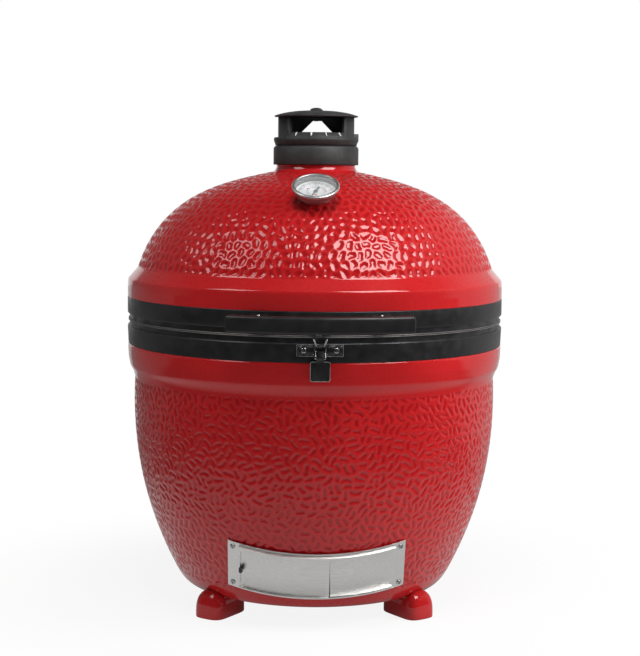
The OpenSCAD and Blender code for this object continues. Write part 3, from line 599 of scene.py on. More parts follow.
DOME_SEAT = [(317, 533.8), (343.9, 533.8), (343.9, 572.1), (349.6, 572.1)]
DOME_COLLAR = [(349.6, 572.1), (349.6, 590), (349.4, 600), (348.6, 604.8), (331, 625)]
DOME_SIDE = [(331, 625), (285.2, 767.6), (159.7, 785.2), (81, 803.5)]
DOME_NECK = [(81, 803.5), (77, 805.4), (75, 808.4), (73.6, 812), (73.6, 816.5), (70.6, 817.5), (70.6, 827),
             (54, 827), (54, 788)]
DOME_INSIDE = [(54, 788), (158, 749), (258, 752), (308, 620)]
THERMOMETER_SEAT_R = 20.0


def thermometer_clear(outline):
    """0 on the flat seat under the thermometer and 1 away from it, over the dome's grid."""
    joint = JOINTS["needle_sweep"]
    origin = np.array(joint["pos_m"]) / MM
    axis = np.array(joint["axis"], float)
    angles = np.arange(COLUMNS) * 2 * math.pi / COLUMNS
    radius = outline[:, 0][:, None]
    points = np.stack([radius * np.sin(angles), -radius * np.cos(angles),
                       outline[:, 1][:, None] + 0 * angles], axis=2) - origin
    off_axis = np.linalg.norm(points - (points @ axis)[:, :, None] * axis, axis=2)
    return smooth_step((off_axis - THERMOMETER_SEAT_R) / 3.0)


def build_dome():
    seat = rounded_path(DOME_SEAT, 1.5, 3)
    collar = resampled(rounded_path(DOME_COLLAR, 2.0), 1.0)
    side = textured(bezier(DOME_SIDE, 600)[:-8], 265.0, 9.0, 6.4, 1.6, 23, thermometer_clear)
    neck = rounded_path(DOME_NECK, 1.2, 4)
    inside = resampled(bezier(DOME_INSIDE, 200), 6.0)
    hidden = inside + [LINING, LINING]
    sections = [(seat[1:-1], None, None), (collar[:-1], None, None), side, (neck[:-1], None, None),
                (hidden, None, None)]
    dome = revolved("dome_glazed", sections, None, COLUMNS, "red_glaze")
    lining = revolved("dome_bare_inside", [(hidden[::-1], None, None), (inside, None, None)],
                      None, COLUMNS // 4, "refractory")
    for piece in (dome, lining):
        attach(piece, "lid")
        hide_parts("dome_shell")


build_pot()
build_dome()


# ---------- smooth turned, swept and padded pieces ----------
def carry(piece, body, *replaced):
    """Lets a piece move with a body, and stand for CAD nodes."""
    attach(piece, body)
    for node in replaced:
        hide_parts(node)
    return piece


def placed(origin, axis):
    """The matrix that puts a piece drawn along +Z onto an axis, with its +X kept level."""
    up = Vector(axis).normalized()
    side = Vector((-up.y, up.x, 0.0)) if abs(up.z) < 0.999 else Vector((1.0, 0.0, 0.0))
    side.normalize()
    turn = Matrix((side, up.cross(side), up)).transposed().to_4x4()
    return Matrix.Translation(origin) @ turn


def thermometer_place():
    joint = JOINTS["needle_sweep"]
    return placed(joint["pos_m"], joint["axis"])


def turned(name, outline, slot, place, ease=1.0, columns=144):
    """A lathe part from a closed outline of (radius, height) in mm. A first point on the axis closes the ends."""
    if outline[0][0] == 0:
        poles = (outline[0][1], outline[-1][1])
        path = rounded_path([outline[0]] + list(outline[1:-1]) + [outline[-1]], ease, 4)[1:-1]
    else:
        poles = None
        path = rounded_path([outline[-1]] + list(outline) + [outline[0]], ease, 4)[1:-1]
    piece = revolved(name, [(path, None, None)], poles, columns, slot)
    piece.data.transform(place)
    piece.data.set_sharp_from_angle(angle=math.radians(50))
    return piece


def skin(rings, closed):
    """Faces between rings of points, with a cap on each end unless the rings form a loop."""
    count, size = len(rings), len(rings[0])
    faces = []
    for i in range(count if closed else count - 1):
        j = (i + 1) % count
        for k in range(size):
            m = (k + 1) % size
            faces.append((i * size + k, i * size + m, j * size + m, j * size + k))
    if not closed:
        faces.append(tuple(range(size))[::-1])
        faces.append(tuple((count - 1) * size + k for k in range(size)))
    return faces


def tube(name, path, radius, slot, sides=14):
    """A round wire along a path in mm, with domed ends."""
    path = [Vector(p) for p in path]
    tangents = [(path[min(i + 1, len(path) - 1)] - path[max(i - 1, 0)]).normalized() for i in range(len(path))]
    across = tangents[0].orthogonal().normalized()
    rings = []
    for i, (point, tangent) in enumerate(zip(path, tangents)):
        across = (across - tangent * across.dot(tangent)).normalized()
        other = tangent.cross(across)
        size = radius * (0.45 if i in (0, len(path) - 1) else 1.0)
        rings.append([(point + size * (math.cos(a) * across + math.sin(a) * other)) * MM
                      for a in np.linspace(0, 2 * math.pi, sides, endpoint=False)])
    return new_piece(name, [v for ring in rings for v in ring], skin(rings, False), slot)


def pad(name, half, slot, place, power=3.5, rings=24, around=48):
    """A rounded block: a superellipsoid with half sizes in mm."""
    def part(value):
        return math.copysign(abs(value) ** (2 / power), value)
    vertices = []
    for i in range(1, rings):
        tilt = math.pi * (i / rings - 0.5)
        for k in range(around):
            turn = 2 * math.pi * k / around
            vertices.append(Vector((half[0] * part(math.cos(tilt)) * part(math.cos(turn)),
                                    half[1] * part(math.cos(tilt)) * part(math.sin(turn)),
                                    half[2] * part(math.sin(tilt)))))
    size = rings - 1
    faces = skin([vertices[i * around:(i + 1) * around] for i in range(size)], False)
    return new_piece(name, [place @ (v * MM) for v in vertices], faces, slot)


# ---------- feet ----------
FOOT_LENGTH = 95.0
FOOT_WIDTH = 59.0
FOOT_HEIGHT = 50.0
FOOT_SIDE = 11.0         # height of the upright part of a foot's side
ROUND_ACROSS = 3.1       # powers of the superellipse that gives a foot its plan and its crown
ROUND_ALONG = 5.5
FOOT_REACH = 271.0


def pot_underside():
    """The pot's outer form below its collar, as radius and height in mm."""
    return np.concatenate([[(0.0, 36.0)], bezier(POT_HEEL, 30), bezier(POT_SIDE, 200)])


def build_foot(node, angle, toe):
    """A loaf with eased edges. Its top is pressed into a saddle that follows the pot."""
    form = pot_underside()
    rows, around = 26, 96
    turn = (Matrix.Rotation(math.radians(angle), 4, "Z") @ Matrix.Translation((0, -FOOT_REACH, 0))
            @ Matrix.Rotation(math.radians(-toe), 4, "Z"))
    rings = []
    for i in range(rows):
        share = 1.0 - (i / (rows - 1)) ** 1.6 * 0.98
        ring = []
        for k in range(around):
            a = 2 * math.pi * k / around
            x = math.copysign(abs(math.cos(a)) ** (2 / ROUND_ACROSS), math.cos(a)) * share
            y = math.copysign(abs(math.sin(a)) ** (2 / ROUND_ALONG), math.sin(a)) * share
            crown = max(0.0, 1 - abs(x) ** ROUND_ACROSS - abs(y) ** ROUND_ALONG) ** (1 / 2.4)
            ring.append((x * FOOT_WIDTH / 2, FOOT_LENGTH / 2 + y * FOOT_LENGTH / 2,
                         FOOT_SIDE + crown * (FOOT_HEIGHT - FOOT_SIDE)))
        rings.append(ring)
    low = [[(x * s, FOOT_LENGTH / 2 + (y - FOOT_LENGTH / 2) * s, z) for x, y, _ in rings[0]]
           for s, z in ((0.5, 0.0), (0.965, 0.0), (0.99, 0.6), (1.0, 2.2), (1.0, 5.0), (1.0, 8.0))]
    vertices = []
    for ring in low + rings:
        for x, y, z in ring:
            point = turn @ Vector((x, y, z))
            radius = math.hypot(point.x, point.y)
            below = form[:, 1] <= 250
            saddle = np.interp(radius, form[below, 0], form[below, 1]) - 0.7 if radius < form[below, 0].max() else 900
            point.z = min(point.z, saddle)
            vertices.append(point * MM)
    count = len(low) + rows
    faces = skin([vertices[i * around:(i + 1) * around] for i in range(count)], False)
    foot = new_piece(node.replace("foot", "loaf"), vertices, faces, "red_glaze")
    foot.data.set_sharp_from_angle(angle=math.radians(48))
    return carry(foot, "base", node)


build_foot("foot_front_left", -47, -13)
build_foot("foot_front_right", 47, 13)
build_foot("foot_rear", 180, 0)


# ---------- felt ropes at the joint ----------
def build_felt(name, node, body, low, high, seed):
    """A woven felt strip: a flattened rope whose surface is uneven."""
    draw = np.random.default_rng(seed)
    middle = (low + high) / 2
    outline = [(321.5, low + 0.5), (323.0, low), (332.0, low), (341.5, low), (343.2, low + 0.7),
               (343.6, middle), (343.2, high - 0.7), (341.5, high), (332.0, high), (323.0, high),
               (321.5, high - 0.5), (321.2, middle)]
    columns = 720
    lumps = np.zeros((len(outline), columns))
    for waves in (45, 90, 180, 240):
        shift = draw.uniform(0, 2 * math.pi, (len(outline), 1))
        lumps += 0.07 * (1 + np.sin(np.arange(columns) * 2 * math.pi * waves / columns + shift))
    lumps += draw.uniform(0, 0.18, lumps.shape)
    strip = revolved(name, [(np.array(outline), lumps, None)], None, columns, "felt")
    return carry(strip, body, node)


build_felt("felt_lower", "lower_gasket", "base", 526.4, 529.8, 5)
build_felt("felt_upper", "upper_gasket", "lid", 530.2, 533.6, 6)


# ---------- handle ----------
def build_handle():
    """The bar in front of the bands, with full round ends."""
    middle, height, depth, corner = 388.5, 29.0, 19.0, 6.0
    half_angle, z0 = 23.8, 552.5
    stations = []
    for t in np.linspace(0.0, 1.0, 9):
        stations.append((-half_angle + math.degrees(corner / middle) * t, corner * (1 - math.sqrt(t * (2 - t)))))
    ends = stations[-1][0]
    for a in np.linspace(ends, -ends, 61)[1:-1]:
        stations.append((a, 0.0))
    stations += [(-a, inset) for a, inset in stations[:9][::-1]]
    rings = []
    for a, inset in stations:
        turn = math.radians(a)
        ring = []
        for k in range(56):
            b = 2 * math.pi * k / 56
            c, s = math.cos(b), math.sin(b)
            grow = (abs(c) ** 5 + abs(s) ** 5) ** (-1 / 5)
            radius = middle + (depth / 2 - inset) * c * grow
            ring.append(Vector((radius * math.sin(turn), -radius * math.cos(turn), z0 + (height / 2 - inset) * s * grow)) * MM)
        rings.append(ring)
    bar = new_piece("handle_grip", [v for ring in rings for v in ring], skin(rings, False), "handle_black")
    return carry(bar, "lid", "handle_bar")


build_handle()


# ---------- thermometer ----------
def build_thermometer():
    place = thermometer_place()
    case = turned("gauge_case", [(5.2, 2.5), (15, 2.5), (23, 4.2), (31, 8.5), (36.6, 14.5), (38.2, 21), (38.4, 25.9),
                                 (36.8, 25.9), (36.8, 19), (35.8, 16.3), (35.8, 15.2), (34, 15.2), (29, 10.6),
                                 (21, 6.4), (5.2, 5)], "brushed_stainless", place, 3.0)
    case.data.materials[0] = turned_metal("gauge_steel", (0.36, 0.35, 0.35), 0.42)
    carry(case, "lid", "thermometer_case")
    bezel = turned("gauge_bezel", [(38.5, 24.6), (40.4, 24.6), (41.5, 25.9), (41.5, 27.6), (40.4, 29.2), (38.2, 30.0),
                                   (36.3, 29.6), (36.0, 28.0), (38.5, 27.9)], "brushed_stainless", place, 0.9)
    carry(bezel, "lid", "thermometer_bezel")
    lens = turned("gauge_lens", [(0, 26.1), (38.3, 26.1), (38.3, 27.8), (35, 28.0), (22, 28.7), (10, 29.0), (0, 29.05)],
                  "lens_glass", place, 2.0)
    carry(lens, "lid", "thermometer_lens")
    dial = turned("gauge_dial", [(1.6, 15.4), (35.6, 15.4), (35.6, 16.3), (1.6, 16.3)], "dial_white", place, 0.2)
    carry(dial, "lid", "thermometer_dial")
    ring = turned("gauge_dial_step", [(30.8, 16.2), (35.5, 16.2), (35.5, 16.9), (31.2, 16.9)], "dial_white", place, 0.2)
    carry(ring, "lid")
    marks, reds = [], []
    for i in range(61):
        a = math.radians(-145 + i * 290 / 60)
        if i % 5 == 0:
            marks.append(bar_between(a, 24.2, 29.6, 0.95))
            marks.append(bar_between(a, 12.4, 15.0, 0.6))
        else:
            marks.append(bar_between(a, 27.0, 29.6, 0.42))
    marks += arc_band(-145, 145, 30.0, 30.5)
    marks += arc_band(-145, 145, 15.2, 15.7)
    reds += arc_band(35, 100, 17.4, 18.6)
    reds += arc_band(-62, -50, 14.8, 18.4)
    reds += arc_band(166, 194, 8.6, 11.8)
    for name, shapes, slot in (("gauge_marks", marks, "needle_black"), ("gauge_red_marks", reds, "red_glaze")):
        vertices, faces = [], []
        for shape in shapes:
            start = len(vertices)
            low = [(x, y, 16.25) for x, y in shape]
            high = [(x, y, 16.42) for x, y in shape]
            vertices += low + high
            faces += [tuple(start + i for i in face) for face in skin([low, high], False)]
        piece = new_piece(name, [place @ (Vector(v) * MM) for v in vertices], faces, slot)
        piece.data.set_sharp_from_angle(angle=math.radians(30))
        carry(piece, "lid")


def bar_between(angle, inner, outer, width):
    """A radial mark. Its corners run anticlockwise, and the angle is counted clockwise from twelve o'clock."""
    out = np.array([math.sin(angle), math.cos(angle)])
    side = np.array([out[1], -out[0]]) * width / 2
    return [out * inner - side, out * inner + side, out * outer + side, out * outer - side]


def arc_band(start, end, inner, outer):
    """Short four-cornered pieces that make up an arc."""
    angles = np.radians(np.linspace(start, end, max(2, int(abs(end - start) / 4)) + 1))
    shapes = []
    for a, b in zip(angles[:-1], angles[1:]):
        corners = [(a, inner), (b, inner), (b, outer), (a, outer)]
        shapes.append([np.array([math.sin(t), math.cos(t)]) * r for t, r in corners])
    return shapes


build_thermometer()


# ---------- top vent ----------
VENT_Z = 816.0
EAVES_Z = 904.0


def build_vent_top():
    upright = Matrix.Identity(4)
    z = EAVES_Z
    roof = turned("vent_cap", [(4.4, z), (70, z), (76.8, z + 0.5), (78.2, z + 1.5), (77.6, z + 2.8), (70, z + 5.4),
                               (57, z + 8.6), (38, z + 11.4), (18, z + 12.6), (4.4, z + 12.8)],
                  "cast_aluminium", upright, 5.0)
    carry(roof, "vent_top", "vent_roof")
    z += 12.9
    nut = turned("vent_cap_nut", [(0, z - 20), (4, z - 20), (4, z), (11.6, z), (12, z + 0.6), (10.5, z + 2.4),
                                  (7, z + 4.4), (2, z + 5.1), (0, z + 5.1)], "cast_aluminium", upright, 1.2)
    carry(nut, "vent_top", "vent_finial")


def build_vent_scale():
    """Raised white ticks on the turning ring's sloping shoulder."""
    low, high = (74.9, VENT_Z + 52.9), (69.4, VENT_Z + 58.6)
    lift = np.array([0.56, 0.54])
    vertices, faces = [], []
    for angle in (-32, -8.5, 13, 35):
        turn = math.radians(angle)
        along = np.array([math.sin(turn), -math.cos(turn), 0.0])
        beside = np.array([math.cos(turn), math.sin(turn), 0.0])
        start = len(vertices)
        for side in (-1.1, 1.1):
            for (r, z), rise in ((low, -1.0), (high, -1.0), (high, 1.0), (low, 1.0)):
                radius, height = np.array([r, z]) + lift * rise
                vertices.append((along * radius + beside * side + np.array([0, 0, height])) * MM)
        faces += [(start, start + 3, start + 2, start + 1), (start + 4, start + 5, start + 6, start + 7)]
        for i in range(4):
            j = (i + 1) % 4
            faces.append((start + i, start + j, start + 4 + j, start + 4 + i))
    ticks = new_piece("vent_scale_ticks", vertices, faces, "dial_white")
    ticks.data.shade_flat()
    carry(ticks, "vent_top")


build_vent_top()
build_vent_scale()


# ---------- hinge springs ----------
def build_spring(side, node):
    """A torsion spring. One leg bears on the base bracket and the other on the lid bracket."""
    y0, z0, coil = 392.0, 545.0, 11.0
    first, last = math.radians(26.2), math.radians(360 * 7 - 37.6)
    path = [(12.0, 364.1, 513.2), (12.0, 370.0, 525.3), (12.0, 376.0, 537.5)]
    for t in np.linspace(0.0, 1.0, 241):
        turn = first + (last - first) * t
        path.append((12.0 + 29.4 * t, y0 - coil * math.cos(turn), z0 + coil * math.sin(turn)))
    path += [(41.4, 377.6, 545.7), (41.4, 372.0, 553.1), (41.4, 366.3, 560.4)]
    wire = tube("spring_" + side, [(x * (1 if side == "right" else -1), y, z) for x, y, z in path], 1.95, "spring_steel")
    if side == "left":
        wire.data.flip_normals()
    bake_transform(wire)
    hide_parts(node)


build_spring("right", "hinge_spring_right")
build_spring("left", "hinge_spring_left")


# ---------- small fittings ----------
def build_knob():
    """The draft door's oval pull, on its own frame."""
    joint = JOINTS["draft_slide"]
    up = Vector(joint["axis"])
    turn = Matrix.Rotation(math.radians(-24.5), 4, up)
    front = turn @ up.cross(Vector((1.0, 0.0, 0.0)))
    front = -front if front.y > 0 else front
    side = up.cross(front)
    place = Matrix((side, up, side.cross(up))).transposed().to_4x4()
    centre = Vector(joint["pos_m"]) + front * (309.4 + 4.4 + 4.9) * MM
    knob = pad("draft_knob_cap", (2.7, 5.6, 2.4), "knob_black", Matrix.Translation(centre) @ place, 2.8)
    carry(knob, "draft_slider")


def radial(angle, radius, height, frame=Matrix.Identity(4)):
    """The place of something that points outward at an angle from the front. Lengths are in mm."""
    return (frame @ Matrix.Rotation(math.radians(angle), 4, "Z")
            @ Matrix.Translation(Vector((0.0, -radius, height)) * MM) @ Matrix.Rotation(math.pi / 2, 4, "X"))


def build_screws(name, node, body, spots, head_r, head_h, shank_r, shank_l):
    """Button-head screws with six-sided sockets, each with its head's seat at a spot."""
    dome = [(math.cos(t), math.sin(t) / math.sin(1.0)) for t in np.linspace(0.0, 1.0, 7)]
    top = dome[-1][0]
    profile = [(shank_r * 0.7, -shank_l, False), (shank_r, 0.6 - shank_l, False), (shank_r, -0.1, False),
               (head_r * 0.93, 0.0, False)]
    profile += [(head_r * r, 0.35 + (head_h - 0.35) * z, False) for r, z in dome]
    profile += [(head_r * top * 0.98, head_h, True), (head_r * top * 0.92, head_h - 0.15, True),
                (head_r * top * 0.9, head_h * 0.3, True)]
    around = 48
    vertices, faces = [], []
    for spot in spots:
        rings = []
        for radius, z, six_sided in profile:
            ring = []
            for k in range(around):
                a = 2 * math.pi * k / around
                off_corner = (a % (math.pi / 3)) - math.pi / 6
                reach = radius * (math.cos(math.pi / 6) / math.cos(off_corner) if six_sided else 1.0)
                ring.append(spot @ (Vector((reach * math.cos(a), reach * math.sin(a), z)) * MM))
            rings.append(ring)
        start = len(vertices)
        vertices += [v for ring in rings for v in ring]
        faces += [tuple(start + i for i in face) for face in skin(rings, False)]
    screws = new_piece(name, vertices, faces, SLOT_OF[node])
    screws.data.set_sharp_from_angle(angle=math.radians(40))
    carry(screws, body, node)


def draft_frame_matrix():
    """The draft door's own frame, drawn around the axis that the door slides about."""
    joint = JOINTS["draft_slide"]
    up = Vector(joint["axis"])
    side = Vector((1.0, 0.0, 0.0))
    turn = Matrix((side, up.cross(side), up)).transposed().to_4x4()
    return Matrix.Translation(joint["pos_m"]) @ turn


def draft_point(place, angle, radius, height):
    turn = math.radians(angle)
    return place @ (Vector((radius * math.sin(turn), -radius * math.cos(turn), height)) * MM)


def build_draft_frame():
    """The curved plate round the draft opening, with its hooked rails in front and its runners behind."""
    place = draft_frame_matrix()
    plate_r, thick, ease, columns = 309.4, 1.5, 0.3, 64
    outer, inner = (30.0, 49.5), (23.6, 30.2)
    corners = [(-1, -1), (1, -1), (1, 1), (-1, 1)]
    shares = [0.0, 0.015] + list(np.linspace(0.0, 1.0, 9)[1:-1]) + [0.985, 1.0]
    rings = []
    for (a0, z0), (a1, z1) in zip(corners, corners[1:] + corners[:1]):
        for t in np.linspace(0.0, 1.0, columns if z0 == z1 else 8, endpoint=False):
            a, z = a0 + (a1 - a0) * t, z0 + (z1 - z0) * t
            front, back = [], []
            for share in shares:
                angle = a * (outer[0] + (inner[0] - outer[0]) * share)
                height = z * (outer[1] + (inner[1] - outer[1]) * share)
                drop = ease if share in (0.0, 1.0) else 0.0
                front.append(draft_point(place, angle, plate_r + thick - drop, height))
                back.append(draft_point(place, angle, plate_r, height))
            rings.append(front + back[::-1])
    vertices = [v for ring in rings for v in ring]
    faces = skin(rings, True)
    rail = [(1, 44), (5.7, 44), (5.7, 42.2), (6.5, 42.2), (6.5, 44.6), (1, 45.8)]
    runner = [(0.5, 32.6), (-5, 32.6), (-5, 29), (-4, 29), (-4, 31.4), (0.5, 31.4)]
    for outline, half in ((rail, 25.8), (runner, 24.2)):
        outline = [(float(x), float(z)) for x, z in outline]
        path = rounded_path([outline[-1]] + outline + [outline[0]], 0.25, 3)[1:-1]
        for side in (-1, 1):
            rings = [[draft_point(place, angle, plate_r + x, side * z) for x, z in path]
                     for angle in np.linspace(-half, half, columns)]
            start = len(vertices)
            vertices += [v for ring in rings for v in ring]
            faces += [tuple(start + k for k in face) for face in skin(rings, False)]
    piece = new_piece("draft_frame_plate", vertices, faces, "brushed_stainless")
    outward(piece)
    piece.data.set_sharp_from_angle(angle=math.radians(40))
    carry(piece, "base", "draft_frame")


build_draft_frame()
build_knob()
build_screws("draft_screw_heads", "draft_frame_screws", "base",
             [radial(a, 311.1, z, draft_frame_matrix()) for a in (-28.1, 28.1) for z in (-39.5, 39.5)],
             4.8, 2.6, 2.5, 12.0)
build_screws("latch_screw_heads", "latch_screws", "base", [radial(a, 352.0, 507.4) for a in (-4.43, 4.43)],
             5.2, 3.0, 2.0, 7.5)
build_screws("handle_screw_heads", "handle_bolts", "lid",
             [radial(a, 354.3, 552.5 + z) for a in (-17, 17) for z in (-10.4, 10.4)], 3.5, 2.6, 2.5, 9.0)
build_screws("hinge_screw_heads_low", "hinge_lower_bolts", "base",
             [radial(180 + a, 355.3, 503.0) for a in (-8.4, -4, 4, 8.4)], 5.6, 3.4, 3.0, 9.5)
build_screws("hinge_screw_heads_high", "hinge_upper_bolts", "lid",
             [radial(180 + a, 355.3, 557.0) for a in (-6.4, -3, 3, 6.4)], 5.6, 3.4, 3.0, 9.5)


BARE_EDGE = turned_metal("bare_edge", (0.62, 0.60, 0.58), 0.34, 0.35)


def build_latch_edges():
    """The bright bare edges of the latch: round the plate, round the thumb tab, and the claw's two tips."""
    plate_r, plate_z, half_h, half_angle = 352.0, 507.4, 10.0, 6.35
    corners = [(-half_angle, -half_h), (half_angle, -half_h), (half_angle, half_h), (-half_angle, half_h)]
    path = []
    for (a0, z0), (a1, z1) in zip(corners, corners[1:] + corners[:1]):
        for t in np.linspace(0.0, 1.0, 12, endpoint=False):
            turn = math.radians(a0 + (a1 - a0) * t)
            path.append((plate_r * math.sin(turn), -plate_r * math.cos(turn), plate_z + z0 + (z1 - z0) * t))
    plate_edge = tube("latch_plate_edge", path + path[:1], 0.28, "fastener_steel", 8)
    plate_edge.data.materials[0] = BARE_EDGE
    carry(plate_edge, "base")
    half, corner, face_y, middle_z = 16.4, 3.4, -360.2, 472.7
    path = []
    for quarter in range(4):
        for t in np.linspace(0.0, math.pi / 2, 8):
            a = quarter * math.pi / 2 + t
            x = math.copysign(half - corner, math.cos(a + 1e-6 - t + math.pi / 4)) + corner * math.cos(a)
            z = math.copysign(half - corner, math.sin(a + 1e-6 - t + math.pi / 4)) + corner * math.sin(a)
            path.append((x, face_y, middle_z + z))
    tab_edge = tube("latch_tab_edge", path + path[:1], 0.5, "fastener_steel", 8)
    tab_edge.data.materials[0] = BARE_EDGE
    carry(tab_edge, "latch_lever")
    for side, word in ((-1, "left"), (1, "right")):
        tip = tube("latch_claw_tip_" + word, [(side * 6.4, -361.5, 515.5), (side * 8.9, -360.8, 521.0),
                                              (side * 11.6, -359.6, 527.4)], 1.5, "fastener_steel", 10)
        tip.data.materials[0] = BARE_EDGE
        carry(tip, "latch_hook")


def build_door_gap_shade():
    """A dark strip that paints the shadow in the gap under the sliding door's free edge, which stands a little proud
    towards the bottom.
    """
    frame_of_door = draft_frame_matrix()
    inner, outer, high = 312.3, 313.3, 43.2
    rings = []
    for z, width in ((high, 0.3), (0.0, 1.2), (-high, 2.4)):
        ring = []
        for radius, beside in ((inner, 0.0), (outer, 0.0), (outer, width), (inner, width)):
            turn = math.radians(3.95) + beside / outer
            ring.append(frame_of_door @ (Vector((radius * math.sin(turn), -radius * math.cos(turn), z)) * MM))
        rings.append(ring)
    # A black strip where there is only shadow: painted shade in the gap beside the door's edge.
    gap_shade_strip = new_piece("draft_door_painted_gap_shade", [v for ring in rings for v in ring], skin(rings, False), "knob_black")
    gap_shade_strip.data.shade_flat()
    carry(gap_shade_strip, "draft_slider")


build_latch_edges()
build_door_gap_shade()


CLAMP_ANGLE = 152.0      # where each band is split and clamped
CLAMP_HALF_GAP = 1.0
BAND_LIP = turned_metal("band_lip", (0.26, 0.245, 0.235), 0.38, 0.5)


def build_lip(name, body, height):
    """The rolled bright edge of a band at the joint, open at the clamp."""
    middle, bead_r, sides = 347.7, 0.8, 10
    rings = []
    for turn in np.radians(np.linspace(CLAMP_ANGLE + CLAMP_HALF_GAP, CLAMP_ANGLE + 360 - CLAMP_HALF_GAP, 541)):
        ring = []
        for b in np.linspace(0, 2 * math.pi, sides, endpoint=False):
            radius = middle + bead_r * math.cos(b)
            ring.append(Vector((radius * math.sin(turn), -radius * math.cos(turn), height + bead_r * math.sin(b))) * MM)
        rings.append(ring)
    lip = new_piece(name, [v for ring in rings for v in ring], skin(rings, False), "spring_steel")
    lip.data.materials[0] = BAND_LIP
    carry(lip, body)


build_lip("band_lip_low", "base", 528.8)
build_lip("band_lip_high", "lid", 531.2)


# ---------- carried-over CAD parts ----------
def dress(node, edge, angle=35.0):
    """Gives a CAD part its material and eased edges."""
    piece = NODES[node]
    piece.data.materials.clear()
    piece.data.materials.append(MATERIALS[SLOT_OF[node]])
    weld = piece.modifiers.new("weld", "WELD")
    weld.merge_threshold = 0.004 * MM
    if edge > 0:
        bevel = piece.modifiers.new("edges", "BEVEL")
        bevel.width = edge * MM
        bevel.segments = 2
        bevel.limit_method = "ANGLE"
        bevel.angle_limit = math.radians(angle)
        bevel.use_clamp_overlap = True
        bevel.harden_normals = True
    piece.data.shade_smooth()
    piece.data.set_sharp_from_angle(angle=math.radians(angle))


EDGE_OF_SLOT = {
    "black_powder_coat": 0.6, "refractory": 2.0, "cast_iron": 1.0, "brushed_stainless": 0.25,
    "fastener_steel": 0.25, "knob_black": 0.5, "cast_aluminium": 0.8, "silicone": 0.4}
EDGE_OF_NODE = {"latch_plate": 0.0, "latch_lever": 0.4, "latch_hook": 0.3, "draft_door": 0.1, "draft_panel": 0.1,
                "vent_rotor": 0.0}
for node_name in NODES:
    dress(node_name, EDGE_OF_NODE.get(node_name, EDGE_OF_SLOT.get(SLOT_OF[node_name], 0.0)))


# ---------- floor, lights and camera ----------
def by_ray(tree, camera, glossy, diffuse):
    """One colour for what the camera sees, one for reflections and one for soft light."""
    path = add(tree, "LightPath")
    soft = mixed(tree, path.outputs["Is Glossy Ray"], diffuse, glossy)
    return mixed(tree, path.outputs["Is Camera Ray"], soft, camera)


def ramp(tree, value, low, high, at_low, at_high):
    return add(tree, "MapRange", {"Value": value, "From Min": low, "From Max": high,
                                  "To Min": at_low, "To Max": at_high},
               interpolation_type="SMOOTHSTEP").outputs["Result"]


def sky():
    """White to the camera. In reflections the room is dark, with a pale backdrop low behind the grill."""
    world = bpy.data.worlds.new("studio")
    bpy.context.scene.world = world
    world.use_nodes = True
    tree = world.node_tree
    tree.nodes.clear()
    ray = add(tree, "TexCoord").outputs["Generated"]
    axes = add(tree, "SeparateXYZ", {"Vector": ray})
    side = ramp(tree, axes.outputs["X"], 0.15, 0.55, 0.13, 0.42)
    side = maths(tree, "MULTIPLY", side, ramp(tree, axes.outputs["Y"], -0.30, 0.10, 0.0, 1.0))
    walls = maths(tree, "MULTIPLY", side, ramp(tree, axes.outputs["Z"], 0.50, 0.85, 1.0, 0.0))
    backdrop = maths(tree, "MULTIPLY", ramp(tree, axes.outputs["Y"], 0.84, 0.88, 0.0, 0.80),
                     ramp(tree, axes.outputs["Z"], 0.16, 0.45, 1.0, 0.0))
    share = maths(tree, "MAXIMUM", walls, backdrop)
    room = mixed(tree, share, rgb(0.020, 0.018, 0.018), rgb(1.0, 0.975, 0.975))
    seen = by_ray(tree, rgb(1.0, 1.0, 1.0), room, rgb(0.14, 0.14, 0.14))
    background = add(tree, "Background", {"Color": seen, "Strength": 1.0})
    add(tree, "OutputWorld", {"Surface": background.outputs["Background"]})


def softbox(name, centre, target, width, height, radiance, reflected):
    """A light panel that is only seen in reflections, or one that only gives soft light."""
    light = bpy.data.lights.new(name, "AREA")
    light.shape = "RECTANGLE"
    light.size = width
    light.size_y = height
    light.energy = radiance * math.pi * width * height
    lamp = bpy.data.objects.new(name, light)
    lamp.location = centre
    lamp.rotation_euler = (Vector(target) - Vector(centre)).to_track_quat("-Z", "Y").to_euler()
    lamp.visible_camera = False
    lamp.visible_glossy = reflected
    lamp.visible_diffuse = not reflected
    bpy.context.scene.collection.objects.link(lamp)
    return lamp


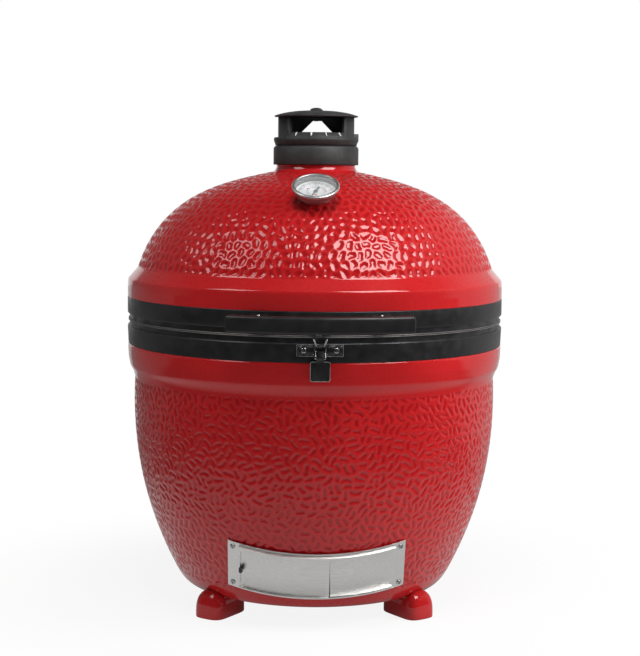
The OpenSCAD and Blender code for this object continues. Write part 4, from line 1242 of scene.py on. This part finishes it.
def floor():
    """A pale floor that turns into the white backdrop, and glows. In reflections it is only bright close to the grill,
    and right under the grill its glow is dimmed, a painted shadow both in reflections and in the light it bounces.
    """
    material, tree, place = new_material("pale_floor")
    distance = add(tree, "VectorMath", {0: place}, operation="LENGTH").outputs["Value"]
    axes = add(tree, "SeparateXYZ", {"Vector": place})
    near = ramp(tree, distance, 0.65, 1.25, 1.0, 0.0)
    straight_back = maths(tree, "DIVIDE", axes.outputs["Y"], distance)
    beside = ramp(tree, axes.outputs["X"], -0.4, 0.8, 0.32, 0.75)
    beyond = maths(tree, "MAXIMUM", ramp(tree, straight_back, 0.84, 0.88, 0.0, 1.0), beside)
    behind = maths(tree, "MULTIPLY", ramp(tree, axes.outputs["Y"], 0.0, 0.5, 0.0, 1.0), beyond)
    # Painted shadow: right under the grill the floor's glow drops to a tenth, in reflections and in its bounce light.
    clear_of_painted_shadow = ramp(tree, distance, 0.16, 0.33, 0.10, 1.0)
    pale = maths(tree, "MULTIPLY", maths(tree, "MAXIMUM", near, behind), clear_of_painted_shadow)
    mirrored = mixed(tree, pale, rgb(0.03, 0.03, 0.03), rgb(0.52, 0.52, 0.52))
    bounced = mixed(tree, clear_of_painted_shadow, rgb(0.0, 0.0, 0.0), rgb(0.60, 0.60, 0.60))
    glow = add(tree, "Emission", {"Color": by_ray(tree, rgb(1.0, 1.0, 1.0), mirrored, bounced),
                                  "Strength": 1.0})
    grain = noise(tree, place, 300.0)
    card = add(tree, "BsdfPrincipled", {"Base Color": rgb(0.93, 0.93, 0.93), "Roughness": 0.7,
                                        "Specular IOR Level": 0.0,
                                        "Normal": bumped(tree, grain, 0.1 * MM, 0.1)})
    path = add(tree, "LightPath")
    shaded = ramp(tree, distance, 0.35, 0.9, 0.11, 0.0)
    share = maths(tree, "MULTIPLY", shaded, path.outputs["Is Camera Ray"])
    both = add(tree, "MixShader", {0: share, 1: glow.outputs["Emission"], 2: card.outputs["BSDF"]})
    add(tree, "OutputMaterial", {"Surface": both.outputs["Shader"]})
    half = 8.0
    mesh = bpy.data.meshes.new("floor")
    mesh.from_pydata([(-half, -half, 0), (half, -half, 0), (half, half, 0), (-half, half, 0)], [], [(0, 1, 2, 3)])
    mesh.materials.append(material)
    ground = bpy.data.objects.new("floor", mesh)
    bpy.context.scene.collection.objects.link(ground)


def camera():
    data = bpy.data.cameras.new("camera")
    data.lens = 86.16
    data.sensor_width = 36.0
    data.shift_x = 0.00844
    rig = bpy.data.objects.new("camera", data)
    turn = (Matrix.Rotation(math.radians(-1.6), 4, "Z") @ Matrix.Rotation(math.radians(84.24), 4, "X")
            @ Matrix.Rotation(math.radians(0.5), 4, "Z"))
    rig.matrix_world = Matrix.Translation((-0.0824, -2.9489, 0.8073)) @ turn
    bpy.context.scene.collection.objects.link(rig)
    bpy.context.scene.camera = rig


sky()
floor()
camera()
AIM = Vector((0.0, 0.0, 0.5))


def panel(name, toward, distance, width, height, radiance, reflected, aim=AIM):
    """A light panel in a direction from the point it is aimed at."""
    aim = Vector(aim)
    softbox(name, aim + Vector(toward).normalized() * distance, aim, width, height, radiance, reflected)


panel("window_left", (-0.61, -0.28, 0.66), 2.2, 0.95, 1.0, 4.2, True, (-0.12, -0.29, 0.67))
panel("window_right", (0.42, -0.42, 0.70), 2.2, 1.35, 1.25, 9.0, True, (0.12, -0.29, 0.67))
panel("soft_key", (0.88, -0.25, 0.36), 2.6, 1.2, 1.2, 12.6, False)
panel("soft_top", (0.0, -0.45, 0.89), 2.6, 1.2, 1.2, 8.8, False)
panel("soft_fill", (-0.85, -0.25, 0.45), 2.6, 1.2, 1.2, 0.4, False)
panel("soft_front", (0.0, -1.0, -0.05), 3.0, 1.2, 1.2, 0.6, False)
bpy.context.scene.view_settings.view_transform = "Standard"
